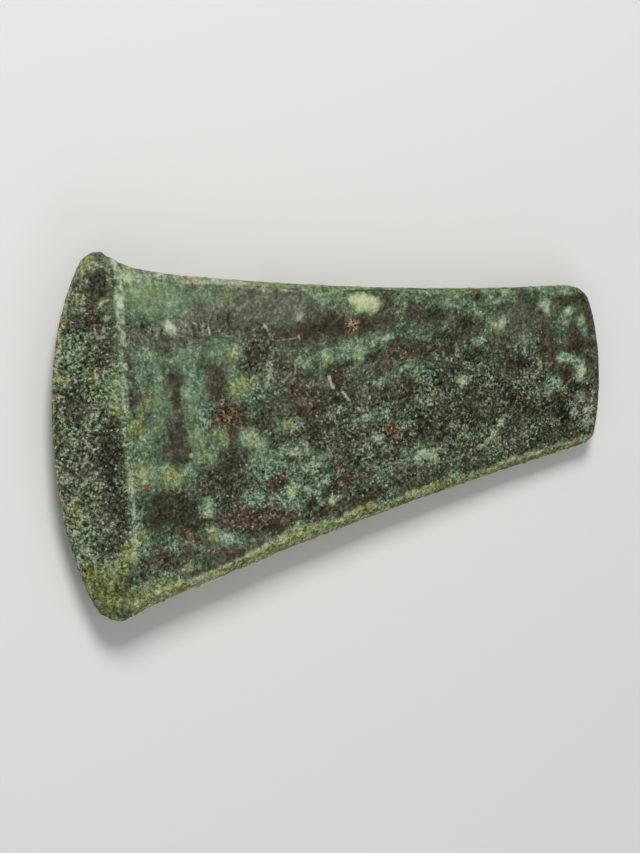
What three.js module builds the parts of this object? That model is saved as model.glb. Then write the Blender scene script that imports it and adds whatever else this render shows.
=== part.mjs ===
// Early bronze flat axe head, cast in one piece. Millimetres, +Z up.
// +X runs from the cutting edge to the butt. It lies flat on its under face.
import * as THREE from 'three';

// ---- plan shape, seen from straight above ----
const LENGTH = 140.6;          // middle of the cutting edge to middle of the butt
const EDGE_BOW = 9.7;          // how far the cutting edge curves back at its tips
const EDGE_SKEW = 2.75;        // the +Y tip lies this much further back
const EDGE_POWER = { up: 2.85, down: 2.1 };   // 2 is an even curve, more is late
const BUTT_BOW = 3.15;         // how far the butt curves forward at its corners
const BUTT_SKEW = 0.8;         // the +Y butt corner lies this much further back
const HALF_AT_EDGE = 38.05;    // half width of the straight taper at the edge
const HALF_AT_BUTT = 18.8;     // half width of the straight taper at the butt
const SIDE_HOLLOW = { up: 2.57, down: 1.88 };  // how far the long sides curve in
const HORN_FLARE = { up: 3.7, down: 1.2 };    // extra width at each blade tip
const HORN_REACH = { up: 3.7, down: 1.5 };    // length over which it dies away
const TIP_RADIUS = { up: 2.6, down: 3.7 };
const CORNER_RADIUS = { up: 4.2, down: 3.1 };

// ---- thickness ----
const CREASE_X = 15.3;         // line where the bevel meets the flat face
const CREASE_SLANT = 0.088;    // how far the line leans back for each mm in +Y
const HALF_THICK_CREASE = 5.35;
const HALF_THICK_BUTT = 2.6;
const EDGE_HALF = 0.42;        // half of the blunt cutting edge, at the middle
const TIP_HALF = { up: 2.0, down: 2.5 };      // half of the worn blade tips
const BEVEL_HOLLOW = 0.22;     // the bevel is slightly hollow
const BUTT_EASE = 1.3;         // worn band along the butt, its length
const BUTT_EASE_DROP = 0.8;    // and how far it falls away
const WALL_SWELL = 0.35;       // the side walls are slightly rounded

// Slanting facet along each long side: width at the blade and at the butt.
const FACET = {
  shown: { up: [1.9, 0.75], down: [2.9, 1.5] },
  under: { up: [1.6, 0.8], down: [1.8, 0.9] },
};
const FACET_DROP = 0.72;       // fall of a facet for each mm of its width

// ---- mesh divisions ----
const BEVEL_ROWS = 7;
const BODY_ROWS = 18;
const BUTT_ROWS = 2;
const HALF_COLUMNS = 14;
const FACET_COLUMNS = 4;       // outermost columns, which carry the facets
const COLUMN_CROWDING = 1.2;   // radians, draws the inner columns to the sides
const WALL_ROWS = 2;

const mix = THREE.MathUtils.lerp;

// How far a rounded corner has cut back at a distance y from the middle.
function cornerCut(y, half, radius) {
  const inCorner = THREE.MathUtils.clamp((y - half + radius) / radius, 0, 1);
  return radius * (1 - Math.sqrt(1 - inCorner * inCorner));
}

// Where the rounding of a blade tip ends and the long side begins.
function tipX(side) {
  const skew = side === 'up' ? EDGE_SKEW : -EDGE_SKEW;
  return EDGE_BOW + skew + TIP_RADIUS[side];
}

// Half width of the head at x, on its +Y ("up") or -Y ("down") side.
function halfWidth(x, side) {
  const along = (x - EDGE_BOW) / (LENGTH - BUTT_BOW - EDGE_BOW);
  const taper = mix(HALF_AT_EDGE, HALF_AT_BUTT, along);
  const hollow = 4 * SIDE_HOLLOW[side] * along * (1 - along);
  const fade = Math.exp(-Math.max(x - tipX(side), 0) / HORN_REACH[side]);
  return taper - hollow + HORN_FLARE[side] * fade;
}

// The cutting edge, the crease and the butt as x for a share of the half width.
function edgeX(share, side) {
  const sign = side === 'up' ? 1 : -1;
  const half = halfWidth(tipX(side), side);
  const cut = cornerCut(share * half, half, TIP_RADIUS[side]);
  const bow = EDGE_BOW * share ** EDGE_POWER[side];
  return bow + sign * EDGE_SKEW * share + cut;
}

function buttX(share, side) {
  const sign = side === 'up' ? 1 : -1;
  const radius = CORNER_RADIUS[side];
  const half = halfWidth(LENGTH - BUTT_BOW - radius, side);
  const cut = cornerCut(share * half, half, radius);
  return LENGTH - BUTT_BOW * share ** 2 + sign * BUTT_SKEW * share - cut;
}

function creaseX(share, side) {
  const sign = side === 'up' ? 1 : -1;
  const half = halfWidth(CREASE_X + sign * CREASE_SLANT * HALF_AT_EDGE, side);
  return CREASE_X + sign * CREASE_SLANT * share * half;
}

// x along one column of the mesh: 0 to 1 is the bevel, 1 to 2 the flat body.
function stationX(station, share, side) {
  const crease = creaseX(share, side);
  if (station <= 1) {
    return mix(edgeX(share, side), crease, station);
  }
  return mix(crease, buttX(share, side), station - 1);
}

// Half thickness of the flat body, one plane from the crease to the butt.
function bodyHalf(x) {
  const along = (x - CREASE_X) / (LENGTH - CREASE_X);
  return mix(HALF_THICK_CREASE, HALF_THICK_BUTT, along);
}

// Share of the half width for a column that runs from 0 at the middle to 1 at
// the side. The arris where the facet starts always falls on a column.
function columnShare(column, flatShare) {
  const arris = 1 - FACET_COLUMNS / HALF_COLUMNS;
  if (column > arris) {
    const toArris = (1 - column) / (1 - arris);
    return 1 - (1 - flatShare) * toArris ** 2;
  }
  const crowded = Math.sin((COLUMN_CROWDING * column) / arris);
  return (flatShare * crowded) / Math.sin(COLUMN_CROWDING);
}

// One point of the shown (+1) or the under (-1) face.
function facePoint(station, column, side, face) {
  const widths = FACET[face > 0 ? 'shown' : 'under'][side];
  const sideX = stationX(station, 1, side);
  const half = halfWidth(sideX, side);
  const facet = mix(widths[0], widths[1], sideX / LENGTH);
  const flatShare = 1 - facet / half;
  const share = columnShare(column, flatShare);
  const x = stationX(station, share, side);
  const crease = stationX(1, share, side);
  let high = bodyHalf(Math.max(x, crease));
  if (station < 1) {
    const thin = mix(EDGE_HALF, TIP_HALF[side], share ** 6);
    high = mix(thin, high, station) - 4 * BEVEL_HOLLOW * station * (1 - station);
  }
  const onFacet = Math.max(0, (share - flatShare) / (1 - flatShare));
  high -= facet * FACET_DROP * onFacet * Math.min(station, 1);
  high -= buttEase(x, share, side);
  return new THREE.Vector3(x, (side === 'up' ? 1 : -1) * share * half, face * high);
}

// The worn band along the butt.
function buttEase(x, share, side) {
  const inBand = (x - buttX(share, side)) / BUTT_EASE + 1;
  return BUTT_EASE_DROP * Math.max(0, inBand) ** 1.5;
}

// Turn the row number of the box mesh into a station along the head.
function stationOf(row) {
  if (row <= BEVEL_ROWS) {
    return row / BEVEL_ROWS;
  }
  const easeStart = 1 - BUTT_EASE / (LENGTH - CREASE_X);
  const bodyRow = row - BEVEL_ROWS;
  if (bodyRow <= BODY_ROWS) {
    return 1 + easeStart * (bodyRow / BODY_ROWS) ** 1.25;
  }
  return 1 + mix(easeStart, 1, (bodyRow - BODY_ROWS) / BUTT_ROWS);
}

// Shape a segmented unit box into the head: each of its points goes between
// the under face and the shown face, at its own row and column.
function headGeometry() {
  const rows = BEVEL_ROWS + BODY_ROWS + BUTT_ROWS;
  const box = new THREE.BoxGeometry(1, 1, 1, rows, 2 * HALF_COLUMNS, WALL_ROWS);
  const points = box.attributes.position;
  for (let i = 0; i < points.count; i += 1) {
    const station = stationOf(Math.round((points.getX(i) + 0.5) * rows));
    const across = 2 * points.getY(i);
    const rise = 2 * points.getZ(i);
    const side = across >= 0 ? 'up' : 'down';
    const column = Math.abs(across);
    const under = facePoint(station, column, side, -1);
    const shown = facePoint(station, column, side, 1);
    const point = under.lerp(shown, (rise + 1) / 2);
    if (column > 0.999) {
      point.y += Math.sign(across) * WALL_SWELL * Math.min(station, 1) * (1 - rise * rise);
    }
    points.setXYZ(i, point.x, point.y, point.z);
  }
  box.deleteAttribute('uv');
  box.computeVertexNormals();
  return box;
}

const patinatedBronze = new THREE.MeshStandardMaterial({
  name: 'patinated_bronze',
  color: 0x56614c,
  roughness: 0.8,
  metalness: 0.3,
});

const axeHead = new THREE.Mesh(headGeometry(), patinatedBronze);
axeHead.name = 'axe_head';

// Tip the head by half its taper, so that the flat under face lies level,
// then put the middle of its box over the origin and its lowest point on z = 0.
const laid = new THREE.Group();
const halfTaper = Math.atan((HALF_THICK_CREASE - HALF_THICK_BUTT) / (LENGTH - CREASE_X));
laid.rotation.y = halfTaper;
laid.add(axeHead);

const part = new THREE.Group();
part.name = 'bronze_axe_head';
part.add(laid);
part.updateMatrixWorld(true);
const extent = new THREE.Box3().setFromObject(laid, true);
const centre = extent.getCenter(new THREE.Vector3());
laid.position.set(-centre.x, -centre.y, -extent.min.z);
part.updateMatrixWorld(true);

export default part;
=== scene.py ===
"""Early bronze flat axe head, corroded green and brown, lying on its under face.

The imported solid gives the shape. Here it gets its worn edges, pits and crust
as real relief, and a patina that is laid on patch by patch.
"""

import itertools
import logging
import math
from dataclasses import dataclass, field
from enum import Enum

import bpy
import numpy as np
from mathutils import Matrix, Vector


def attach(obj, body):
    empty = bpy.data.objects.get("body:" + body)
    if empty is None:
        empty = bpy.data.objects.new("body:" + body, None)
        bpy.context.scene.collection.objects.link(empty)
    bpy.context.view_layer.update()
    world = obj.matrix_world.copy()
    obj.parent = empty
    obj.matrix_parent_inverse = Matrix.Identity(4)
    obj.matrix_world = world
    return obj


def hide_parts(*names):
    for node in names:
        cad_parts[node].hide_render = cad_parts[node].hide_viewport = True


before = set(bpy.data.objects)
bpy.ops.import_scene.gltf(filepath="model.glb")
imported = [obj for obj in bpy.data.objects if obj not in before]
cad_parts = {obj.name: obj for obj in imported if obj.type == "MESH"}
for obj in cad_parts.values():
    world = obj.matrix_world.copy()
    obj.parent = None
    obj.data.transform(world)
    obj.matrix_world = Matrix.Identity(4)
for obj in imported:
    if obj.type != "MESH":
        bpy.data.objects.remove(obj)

MM = 0.001
LOG = logging.getLogger("axe_head")


class Patina(Enum):
    """The kinds of corrosion and wear that are laid on the bronze."""

    SAGE = "sage"
    TEAL = "teal"
    PALE = "pale"
    LIME = "lime"
    OCHRE = "ochre"
    RED = "red"
    DARK = "dark"
    COPPER = "copper"
    ASH = "ash"
    SMOOTH = "smooth"
    GRAIN = "grain"


# How much each kind lightens or darkens the patina, on a scale where 0 is
# the blackest pit and 1 the palest crust.
LIGHTENS = {
    Patina.SAGE: 0.12,
    Patina.TEAL: 0.03,
    Patina.PALE: 0.28,
    Patina.LIME: 0.10,
    Patina.OCHRE: 0.03,
    Patina.RED: -0.03,
    Patina.DARK: -0.20,
    Patina.ASH: 0.08,
}

# How much each kind turns the surface from bare brown to green.
GREENS = {
    Patina.SAGE: 0.50,
    Patina.TEAL: 0.45,
    Patina.PALE: 0.60,
    Patina.LIME: 0.50,
    Patina.OCHRE: 0.10,
    Patina.RED: -0.45,
    Patina.DARK: -0.35,
    Patina.ASH: -0.25,
}

# Each colour attribute of the mesh holds three amounts.
LAYERS = {
    "ground": ("level", "green", "grit"),
    "tints": (Patina.TEAL, Patina.LIME, Patina.RED),
    "marks": (Patina.OCHRE, Patina.COPPER, Patina.ASH),
}


def smooth_step(low: float, high: float, value: np.ndarray) -> np.ndarray:
    """Ease from 0 at low to 1 at high.

    Args:
        low: value that gives 0.
        high: value that gives 1, above or below low.
        value: the values to ease.

    Returns:
        The eased values.
    """
    t = np.clip((value - low) / (high - low), 0.0, 1.0)
    return t * t * (3.0 - 2.0 * t)


class Grain:
    """Repeatable noise on points given in millimetres."""

    def __init__(self, seed: int) -> None:
        """Draw the tables that this noise uses.

        Args:
            seed: the same seed always gives the same noise.
        """
        draw = np.random.default_rng(seed)
        self._order = np.tile(draw.permutation(256), 2)
        slopes = draw.normal(size=(256, 3))
        self._slopes = slopes / np.linalg.norm(slopes, axis=1, keepdims=True)
        self._spots = draw.random((256, 3))
        self._levels = draw.random(256)

    def _pick(self, cell: np.ndarray) -> np.ndarray:
        """Return a table row for each whole-number cell."""
        x, y, z = (cell & 255).T
        return self._order[self._order[self._order[x] + y] + z]

    def plain(self, points: np.ndarray, size: float) -> np.ndarray:
        """Smooth noise from about -1 to 1.

        Args:
            points: places in millimetres.
            size: width of its features in millimetres.

        Returns:
            One value for each point.
        """
        place = points / size
        cell = np.floor(place).astype(np.int64)
        part = place - cell
        ease = part**3 * (part * (part * 6.0 - 15.0) + 10.0)
        total = np.zeros(len(points))
        for corner in itertools.product((0, 1), repeat=3):
            step = np.array(corner)
            slope = self._slopes[self._pick(cell + step)]
            weight = np.prod(np.where(step == 1, ease, 1.0 - ease), axis=1)
            total += weight * np.sum(slope * (part - step), axis=1)
        return total * 1.7

    def layered(self, points: np.ndarray, size: float, layers: int = 4) -> np.ndarray:
        """Noise with finer and finer layers added at half the strength.

        Args:
            points: places in millimetres.
            size: width of the largest features in millimetres.
            layers: how many layers.

        Returns:
            One value for each point, from about -1 to 1.
        """
        total = np.zeros(len(points))
        for layer in range(layers):
            shift = points + 17.3 * layer
            total += self.plain(shift, size / 2**layer) / 2**layer
        return total / 1.5

    def cells(self, points: np.ndarray, size: float) -> tuple[np.ndarray, np.ndarray]:
        """Scattered grains.

        Args:
            points: places in millimetres.
            size: usual spacing of the grains in millimetres.

        Returns:
            Distance to the nearest grain's middle in spacings, and that
            grain's own level from 0 to 1.
        """
        place = points / size
        base = np.floor(place).astype(np.int64)
        near = np.full(len(points), 9.0)
        level = np.zeros(len(points))
        for corner in itertools.product((-1, 0, 1), repeat=3):
            cell = base + np.array(corner)
            pick = self._pick(cell)
            gap = np.linalg.norm(cell + self._spots[pick] - place, axis=1)
            closer = gap < near
            near = np.where(closer, gap, near)
            level = np.where(closer, self._levels[pick], level)
        return near, level


@dataclass(frozen=True)
class Stain:
    """One soft-edged oval patch, in plan millimetres on the shown face.

    x runs from the cutting edge to the butt and y across the head.
    """

    x: float
    y: float
    length: float
    width: float
    turn: float = 0.0
    strength: float = 1.0
    crisp: bool = False

    def cover(self, plan: np.ndarray, fray: np.ndarray | float = 0.0) -> np.ndarray:
        """Return how strongly the stain covers each plan point."""
        turn = math.radians(self.turn)
        dx, dy = plan[:, 0] - self.x, plan[:, 1] - self.y
        along = dx * math.cos(turn) + dy * math.sin(turn)
        across = dy * math.cos(turn) - dx * math.sin(turn)
        reach = np.hypot(2.0 * along / self.length, 2.0 * across / self.width)
        if self.crisp:
            return self.strength * smooth_step(1.35, 0.6, reach + fray)
        return self.strength * np.exp(-0.7 * reach**3)


@dataclass(frozen=True)
class Scratch:
    """One thin line, in plan millimetres on the shown face."""

    x0: float
    y0: float
    x1: float
    y1: float
    width: float = 0.4
    strength: float = 1.0

    def cover(self, plan: np.ndarray) -> np.ndarray:
        """Return how strongly the scratch covers each plan point."""
        start = np.array((self.x0, self.y0))
        run = np.array((self.x1, self.y1)) - start
        share = np.clip((plan - start) @ run / (run @ run), 0.0, 1.0)
        gap = np.linalg.norm(plan - start - share[:, None] * run, axis=1)
        taper = 1.0 - 0.5 * np.abs(2.0 * share - 1.0) ** 3
        return self.strength * smooth_step(self.width, 0.35 * self.width, gap / taper)


# Patches on the shown face: x, y, length, width, turn in degrees, strength.
SHOWN_STAINS: dict[Patina, tuple[tuple[float, ...], ...]] = {
    Patina.SAGE: (
        (25.5, 29.2, 18, 7, -6, 1.0), (24, 28.6, 10, 5, -3, 0.5), (19.5, 34.5, 6, 4, -30, 0.5),
        (40, 27.5, 8, 4, -8, 0.5), (28, 22.8, 5, 5, 0, 0.5), (20, 15.5, 5, 8, 0, 0.5),
        (31.5, 15.5, 5, 5, 10, 0.7), (38, 16.5, 6, 6, 0, 0.6), (42, 14.5, 5, 7, 0, 0.7),
        (32, 6, 5.5, 9, 0, 0.8), (43, 7.5, 7, 4, 0, 0.8), (22, 5, 5, 11, 0, 0.6), (16.5, 4, 5, 6, 0, 0.6),
        (18.5, -3.5, 7, 12, 0, 0.6), (18, -9, 8, 6, 0, 0.8), (25.5, -9.5, 9, 4.5, 0, 0.8),
        (27, -11.8, 6, 2.5, 0, 0.5), (31, -2.5, 4, 9, 0, 0.6), (34, -6.5, 6, 4, 0, 0.3),
        (37.5, -3, 4, 3, 0, 0.6), (43.8, -4, 5, 4, 0, 0.7), (46.5, -8.5, 5, 8, 10, 0.7),
        (15, -17, 3, 12, 5, 0.7), (16.5, -22, 5, 5, 0, 0.6), (44, -17, 6, 5, 0, 0.5),
        (34.5, -23.5, 8, 2.6, -33, 0.7), (22.5, -23.5, 4, 3, -30, 0.5), (27, -29.2, 6, 2.2, 10, 0.6),
        (17, -32, 8, 4, 10, 0.7), (48.5, 7.5, 4, 6, 0, 0.6), (59, 11.5, 4, 5, 0, 0.6),
        (64.5, 11.5, 5, 5, 0, 0.6), (72, 11.5, 9, 5, 0, 0.7), (79, 13.2, 8, 2.5, 15, 0.7),
        (59.5, 21.8, 3, 4, 0, 0.5), (65, 23.5, 9, 5, -5, 0.3), (75.5, 22.3, 8, 5.5, 0, 0.8),
        (75, -3.5, 11, 3.5, 12, 0.9), (84, 5.5, 10, 3.5, 20, 0.7), (46.3, -6.3, 3, 5, 0, 0.5),
        (53.8, -2.9, 3.6, 2.8, 0, 0.6), (55, -8.3, 8, 3.5, 5, 0.9), (47, -11.5, 5, 5, 0, 0.5),
        (60, -11.8, 8, 4, 5, 0.6), (53, -18, 6, 6, 15, 0.8), (61, -17, 7, 3, 30, 0.6),
        (77, -16, 9, 6, 0, 0.45), (76, -9, 3, 3, 0, 0.6), (72, -11, 6, 4, 0, 0.3), (66, -2, 4, 4, 0, 0.3),
        (88, -14.5, 9, 5, 5, 0.8), (84, -6, 4, 4, 0, 0.4), (92, -2, 8, 3.5, 8, 0.4),
        (88, 4.5, 4, 5, 0, 0.4),
        (93, 13.5, 7, 3, 5, 0.4), (97, 20.5, 14, 3.5, -6, 0.5), (106, 17, 6, 4, -45, 0.6),
        (113, 18.8, 9, 4, -6, 0.6), (112, 12.5, 7, 5, 0, 0.7), (107, 10, 5, 2.5, 0, 0.5),
        (100.5, 1, 4, 3, 0, 0.5), (119, 8, 8, 8, 0, 0.4), (108.5, -12.5, 8, 2.5, 42, 0.7),
        (120, -2, 7, 7, 0, 0.35), (118, -13, 6, 6, 0, 0.25), (126.3, -3.8, 5, 4, 20, 0.8),
        (129.3, 8.5, 3.5, 6, 20, 0.7), (136.3, 8.5, 3, 5, 20, 0.7), (132.5, 13, 3.5, 4, 20, 0.7),
        (126, 15.5, 4, 5, 15, 0.7), (130, 18, 8, 2.5, 0, 0.5), (132, 2, 7, 3, -15, 0.8),
        (134.8, -1.5, 3.5, 5, 0, 0.8), (134.5, -10.5, 7, 7, 0, 0.5), (12.5, 11, 4, 7, 0, 0.6),
        (6.5, 20.5, 5, 6, 20, 0.6), (95, -20.8, 4, 2.6, 0, 0.9), (5, -16, 5, 12, 0, 0.3),
        (22.5, 12.5, 3, 6, 0, 0.4), (97, 15, 6, 3, 10, 0.35), (111, 16, 8, 6, 0, 0.5),
        (108, 4, 7, 5, 20, 0.4), (91, -1.5, 7, 3, 10, 0.4), (78, 5.5, 10, 4, 25, 0.5),
        (70, 7.8, 6, 2.2, 0, 0.3), (67, 24.6, 12, 2.6, -7, 0.6), (87, 21.8, 6, 4, 0, 0.5),
        (43.5, 30, 14, 2, -8, 0.7), (106.5, -15, 6, 3, 30, 0.5), (100, 19.5, 9, 3, -5, 0.4),
        (57.5, 24, 4, 3, 0, 0.3), (50, 3, 4, 3, 0, 0.3), (99, -12, 6, 3, 20, 0.3), (93.5, 6, 5, 4, 30, 0.3),
        (82.5, -4.5, 4, 3, 0, 0.3),
        (23.3, 14.5, 3, 6, 0, 0.6), (31, 17.5, 6, 3, 0, 0.3),
    ),
    Patina.TEAL: (
        (20.5, 15, 4, 7, 0, 0.6), (22, 12.5, 2.5, 4, 20, 0.5), (32.5, 11.5, 5, 4, 0, 0.7),
        (38, 14.5, 3, 3, 0, 0.5), (33.5, 3, 4, 5, 0, 0.6), (37, -1, 4, 3, 0, 0.4), (41.5, -3, 3, 3, 0, 0.6),
        (17.3, -14, 4, 4, 20, 0.6), (16, -17.5, 3, 6, 10, 0.4), (22.5, -23.5, 4, 4, -30, 0.6),
        (36, -24.8, 6, 2.5, -35, 0.6), (31.3, -18, 4, 4, 0, 0.4), (44, -17.5, 6, 4, 0, 0.4),
        (48, -11.5, 8, 3.5, -5, 0.6), (53, -13, 4, 4, 0, 0.4), (53, -18.5, 7, 5, 20, 0.5),
        (60, -17, 7, 3, 30, 0.5), (62, 23, 6, 4, 0, 0.35), (60, 12.5, 4, 4, 0, 0.4),
        (56, -2.2, 2.5, 3, 0, 0.6),
        (86, 14.5, 8, 3, 5, 0.4), (84.5, 5, 6, 3, 20, 0.3), (93, 5, 6, 5, 30, 0.3),
        (103, 10, 6, 2.5, 0, 0.3),
        (113, 9.5, 4, 3.5, 0, 0.4), (126.5, -3.2, 5, 4, 15, 0.8), (129.3, 8.5, 3, 5, 40, 0.6),
        (130.5, 18, 5, 2.5, 0, 0.6), (136.8, 7.5, 2.5, 4, 20, 0.7), (130.5, 3, 4, 2, -15, 0.4),
        (96, -21, 3, 2, 0, 0.5), (110, -10, 3, 2.5, 40, 0.4), (61, 2, 3, 3, 0, 0.2),
        (24.5, 9, 3, 6, 0, 0.3),
        (84, -14.5, 4, 3, 0, 0.3), (138, -3, 2.5, 6, 0, 0.4),
    ),
    Patina.PALE: (
        (27.9, 22.9, 3.2, 3.2, 0, 1.0), (18.6, 34.6, 4.5, 2.2, -35, 0.6), (19, 31.5, 6, 1.4, -10, 0.35),
        (24, 33, 8, 1.2, -8, 0.4), (76.8, 22.3, 7.5, 4.6, -5, 1.0), (73.8, 23.2, 3, 2.5, 0, 0.7),
        (79.4, 21.3, 2.5, 2.2, 0, 0.6), (65.6, 11.6, 2.6, 3.2, 0, 0.7), (70.9, 11.8, 2, 3, 0, 0.4),
        (73.9, 11.2, 3.6, 4, 0, 0.8), (77.9, 12.8, 2.6, 1.6, 0, 0.7), (81, 13.7, 3.2, 1.5, 22, 0.8),
        (59.6, 21.3, 2, 3, 0, 0.5), (50.2, 9.5, 2.2, 5, -8, 0.7), (46.7, 8.5, 2.6, 2, 40, 0.5),
        (44.3, 8, 2, 1.6, 0, 0.4), (42.6, 14.8, 2, 1.6, 0, 0.5), (38.3, 13.8, 1.6, 1.6, 0, 0.6),
        (29.6, 8, 1.8, 3.5, 0, 0.45), (31, 4.5, 2, 2, 0, 0.3), (29.3, -5.5, 1.1, 1.2, 0, 0.9),
        (43.6, -3.8, 4, 2.6, -25, 0.6), (46.5, -6, 2, 4, 10, 0.4), (31.4, -17.6, 4.2, 3.6, 15, 0.65),
        (36, -24.6, 5.0, 1.0, -35, 0.4), (32.3, -22.6, 2.4, 1.6, 0, 0.3), (53.7, -3, 4, 3, 10, 0.5),
        (56, -8.4, 5, 2.2, 5, 0.6), (57.2, -9.7, 1.0, 0.8, 0, 0.8), (59.5, -12.9, 4.5, 2.2, -10, 0.7),
        (61.5, -10.8, 5, 1.6, 5, 0.4), (53, -17.5, 2.6, 4.5, -15, 0.7), (51, -20.4, 3, 1.4, 0, 0.4),
        (63.8, -21.1, 3, 1.8, 10, 0.9), (65.3, -15.6, 1.2, 0.8, 0, 0.8), (68.9, -13.8, 0.9, 0.9, 0, 0.8),
        (63, -15.5, 3, 1, 30, 0.4), (76.2, -9.3, 2.2, 2.2, 0, 0.7), (77.9, -8.5, 1.1, 0.9, 0, 0.9),
        (73, -3.8, 4, 2, 10, 0.4), (79.5, -2.8, 1.6, 3.4, 0, 0.5), (70.5, -11.3, 3, 2, 20, 0.3),
        (82.5, -12.8, 2.2, 2.2, 20, 0.5), (88.8, -14.4, 6.5, 2.4, 5, 1.0), (86.5, -16, 3, 2, 0, 0.5),
        (91, -16.4, 3, 1.6, 0, 0.35), (85, -7, 3, 2, 20, 0.4), (100.6, 1.1, 3, 2.4, 0, 1.0),
        (100, 7.6, 1.1, 3.4, 0, 0.6), (106, 9.7, 4, 1.3, 0, 0.6), (112.3, 12.4, 3, 2.4, 0, 0.6),
        (92.6, 10, 2.5, 1.2, 0, 0.4), (88, 5, 1.6, 3, 10, 0.5), (91, 3.2, 2, 1.4, 0, 0.4),
        (96, -1.8, 5, 1.4, 10, 0.4), (93, 22.5, 3, 1.4, -6, 0.5), (86.5, 22.4, 4, 1.4, 20, 0.6),
        (100, 21.5, 6, 1.0, -6, 0.5), (103.5, 18.8, 3.6, 1.4, 30, 0.4), (106.2, 17, 4, 1.5, -50, 0.6),
        (109.8, -10.4, 2.6, 1.4, 50, 0.8), (107.3, -13.2, 5, 1.1, 38, 0.8), (104.8, -15.2, 3, 1, 30, 0.5),
        (129.5, 2.7, 4, 1.7, -5, 0.65), (132.5, 1.9, 3.5, 2.0, -30, 0.75), (134.8, -0.6, 2.4, 4.5, 0, 1.0),
        (134.1, -3.4, 2.4, 2, 0, 0.9), (125.8, 15.3, 2.6, 4.6, 18, 0.8), (126.2, 13.5, 2, 1.6, 0, 0.6),
        (132.4, 13.3, 2.6, 2.6, 30, 0.9), (131, 11.5, 1.6, 2.4, 30, 0.6), (136.1, 10.3, 2.4, 3, 0, 0.9),
        (137, 7.6, 1.6, 2.6, 15, 0.5), (130.8, 18.2, 3, 1.4, 0, 0.5), (124.6, -5.2, 3.2, 1.5, 25, 0.7),
        (127.6, -3.6, 3, 1.8, 0, 0.4), (122.9, 1.5, 1.2, 2.4, 0, 0.8), (119, 7.5, 1.4, 5, 0, 0.3),
        (133.6, -7.6, 3, 2.4, 20, 0.6), (131.3, -11.3, 3, 2.6, 0, 0.7), (135.8, -10.5, 3.5, 4, 0, 0.6),
        (135.5, -14, 3.5, 2.5, 0, 0.6), (137.6, -8, 1.4, 5, 0, 0.5), (130.5, -14.5, 3, 2, 0, 0.4),
        (121.5, -5, 3, 4, 0, 0.35), (113.5, -14.5, 4, 4, 0, 0.3), (128.2, -11.7, 0.8, 0.8, 0, 1.0),
        (14.2, 26.4, 1.4, 1.2, 0, 1.0), (13.6, 29.6, 3.2, 0.9, 28, 1.0), (13.3, 23.9, 1.2, 0.9, 0, 0.8),
        (15.3, 22.6, 1.3, 0.9, 0, 0.9), (12.4, 22.4, 2.4, 0.7, -8, 0.7), (11.9, 19.3, 0.9, 0.9, 0, 0.9),
        (7.8, 28.6, 3.0, 2.6, 0, 0.35), (9, 31, 2.5, 1.4, 40, 0.3), (13, 38, 4, 3, 20, 0.4),
        (8.5, 14.7, 2, 1.5, 0, 0.5), (14.8, 12.5, 2, 3, 0, 0.4), (15, 5, 1.5, 2, 0, 0.5),
        (3, 1.5, 3, 2, 0, 0.5),
        (2.2, -6.8, 2, 1.6, 0, 0.4), (14, -10, 2, 8, 0, 0.3), (4, -14, 3, 3, 0, 0.3),
        (8.8, -38.4, 3, 1, 0, 0.6),
        (1.6, -25.8, 1, 1, 0, 0.8), (15.5, -31.5, 3, 2, 0, 0.3),
        (26, 34.4, 12, 1.6, -11, 0.5), (40, 31.2, 16, 1.6, -9, 0.5), (52, 28.4, 10, 1.2, -8, 0.35),
        (66, 25.4, 10, 1.2, -6, 0.35), (86.8, 20.5, 1.6, 4, 0, 0.4), (108, -16.8, 8, 4, 10, 0.3),
        (112.5, 13.8, 5, 3, 0, 0.3), (111, 18.6, 4, 2, 0, 0.4), (104, 1.5, 4, 1.2, 20, 0.3),
        (81.5, 5.6, 4, 1.4, 25, 0.4), (78, 3.6, 4, 1.2, 15, 0.35), (12, -32, 1.2, 1.2, 0, 0.6),
        (12.6, -24.2, 1.4, 3, -5, 0.15),
        (25.3, 16.2, 1.4, 0.8, 30, 0.5), (27.2, 15.6, 0.9, 0.9, 0, 0.5), (24.2, 12.2, 1.6, 0.9, -20, 0.6),
        (26.1, 13.4, 1.2, 1, 0, 0.5), (30.6, 10.2, 1.4, 2.2, 30, 0.5), (85.4, 4.6, 1, 1, 0, 0.8),
        (87.6, 4.2, 1, 0.8, 0, 0.7), (84.2, 5.6, 1.2, 2, -10, 0.6), (96.5, -9.5, 0.7, 2.4, -10, 0.6),
        (94, -3, 0.8, 3, 15, 0.5), (88.5, -2.4, 2.4, 0.8, 40, 0.5), (86.2, -8.6, 1.4, 2, 0, 0.4),
    ),
    Patina.LIME: (
        (12.3, -24.2, 2.6, 5.6, -8, 1.0), (10.6, -27.5, 2.8, 3.6, 0, 0.8), (6.5, -31.5, 7, 11, 25, 0.85),
        (14, -34.5, 7, 3, 12, 0.6), (9, -37, 4, 3, 0, 0.6), (10.1, 15.5, 1.4, 5, 0, 0.9),
        (13.3, 9, 4, 7, -20, 0.55), (13.8, 6.2, 3.4, 2.4, -35, 0.7), (6.5, 20.5, 5, 5, 20, 0.4),
        (12.3, 38.6, 3.4, 3, 40, 0.5), (3, 14.5, 1.6, 4, 15, 0.5), (8.5, 4, 4, 2.5, 20, 0.5),
        (2.5, 0, 4, 4, 0, 0.3), (7, -8, 3, 4, 0, 0.3), (2.3, -15, 1.8, 8, 0, 0.4), (17, 2, 5, 5, 0, 0.5),
        (17, -8, 6, 6, 0, 0.5), (25, -9, 5, 5, 0, 0.6), (18.5, 5.5, 2.5, 2.5, 0, 0.4),
        (24, 29.5, 12, 5, 0, 0.25),
        (20, 34.5, 6, 2.5, -30, 0.3), (42, 15, 4, 4, 0, 0.4), (43.5, 7.4, 5, 3, 0, 0.6),
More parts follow.
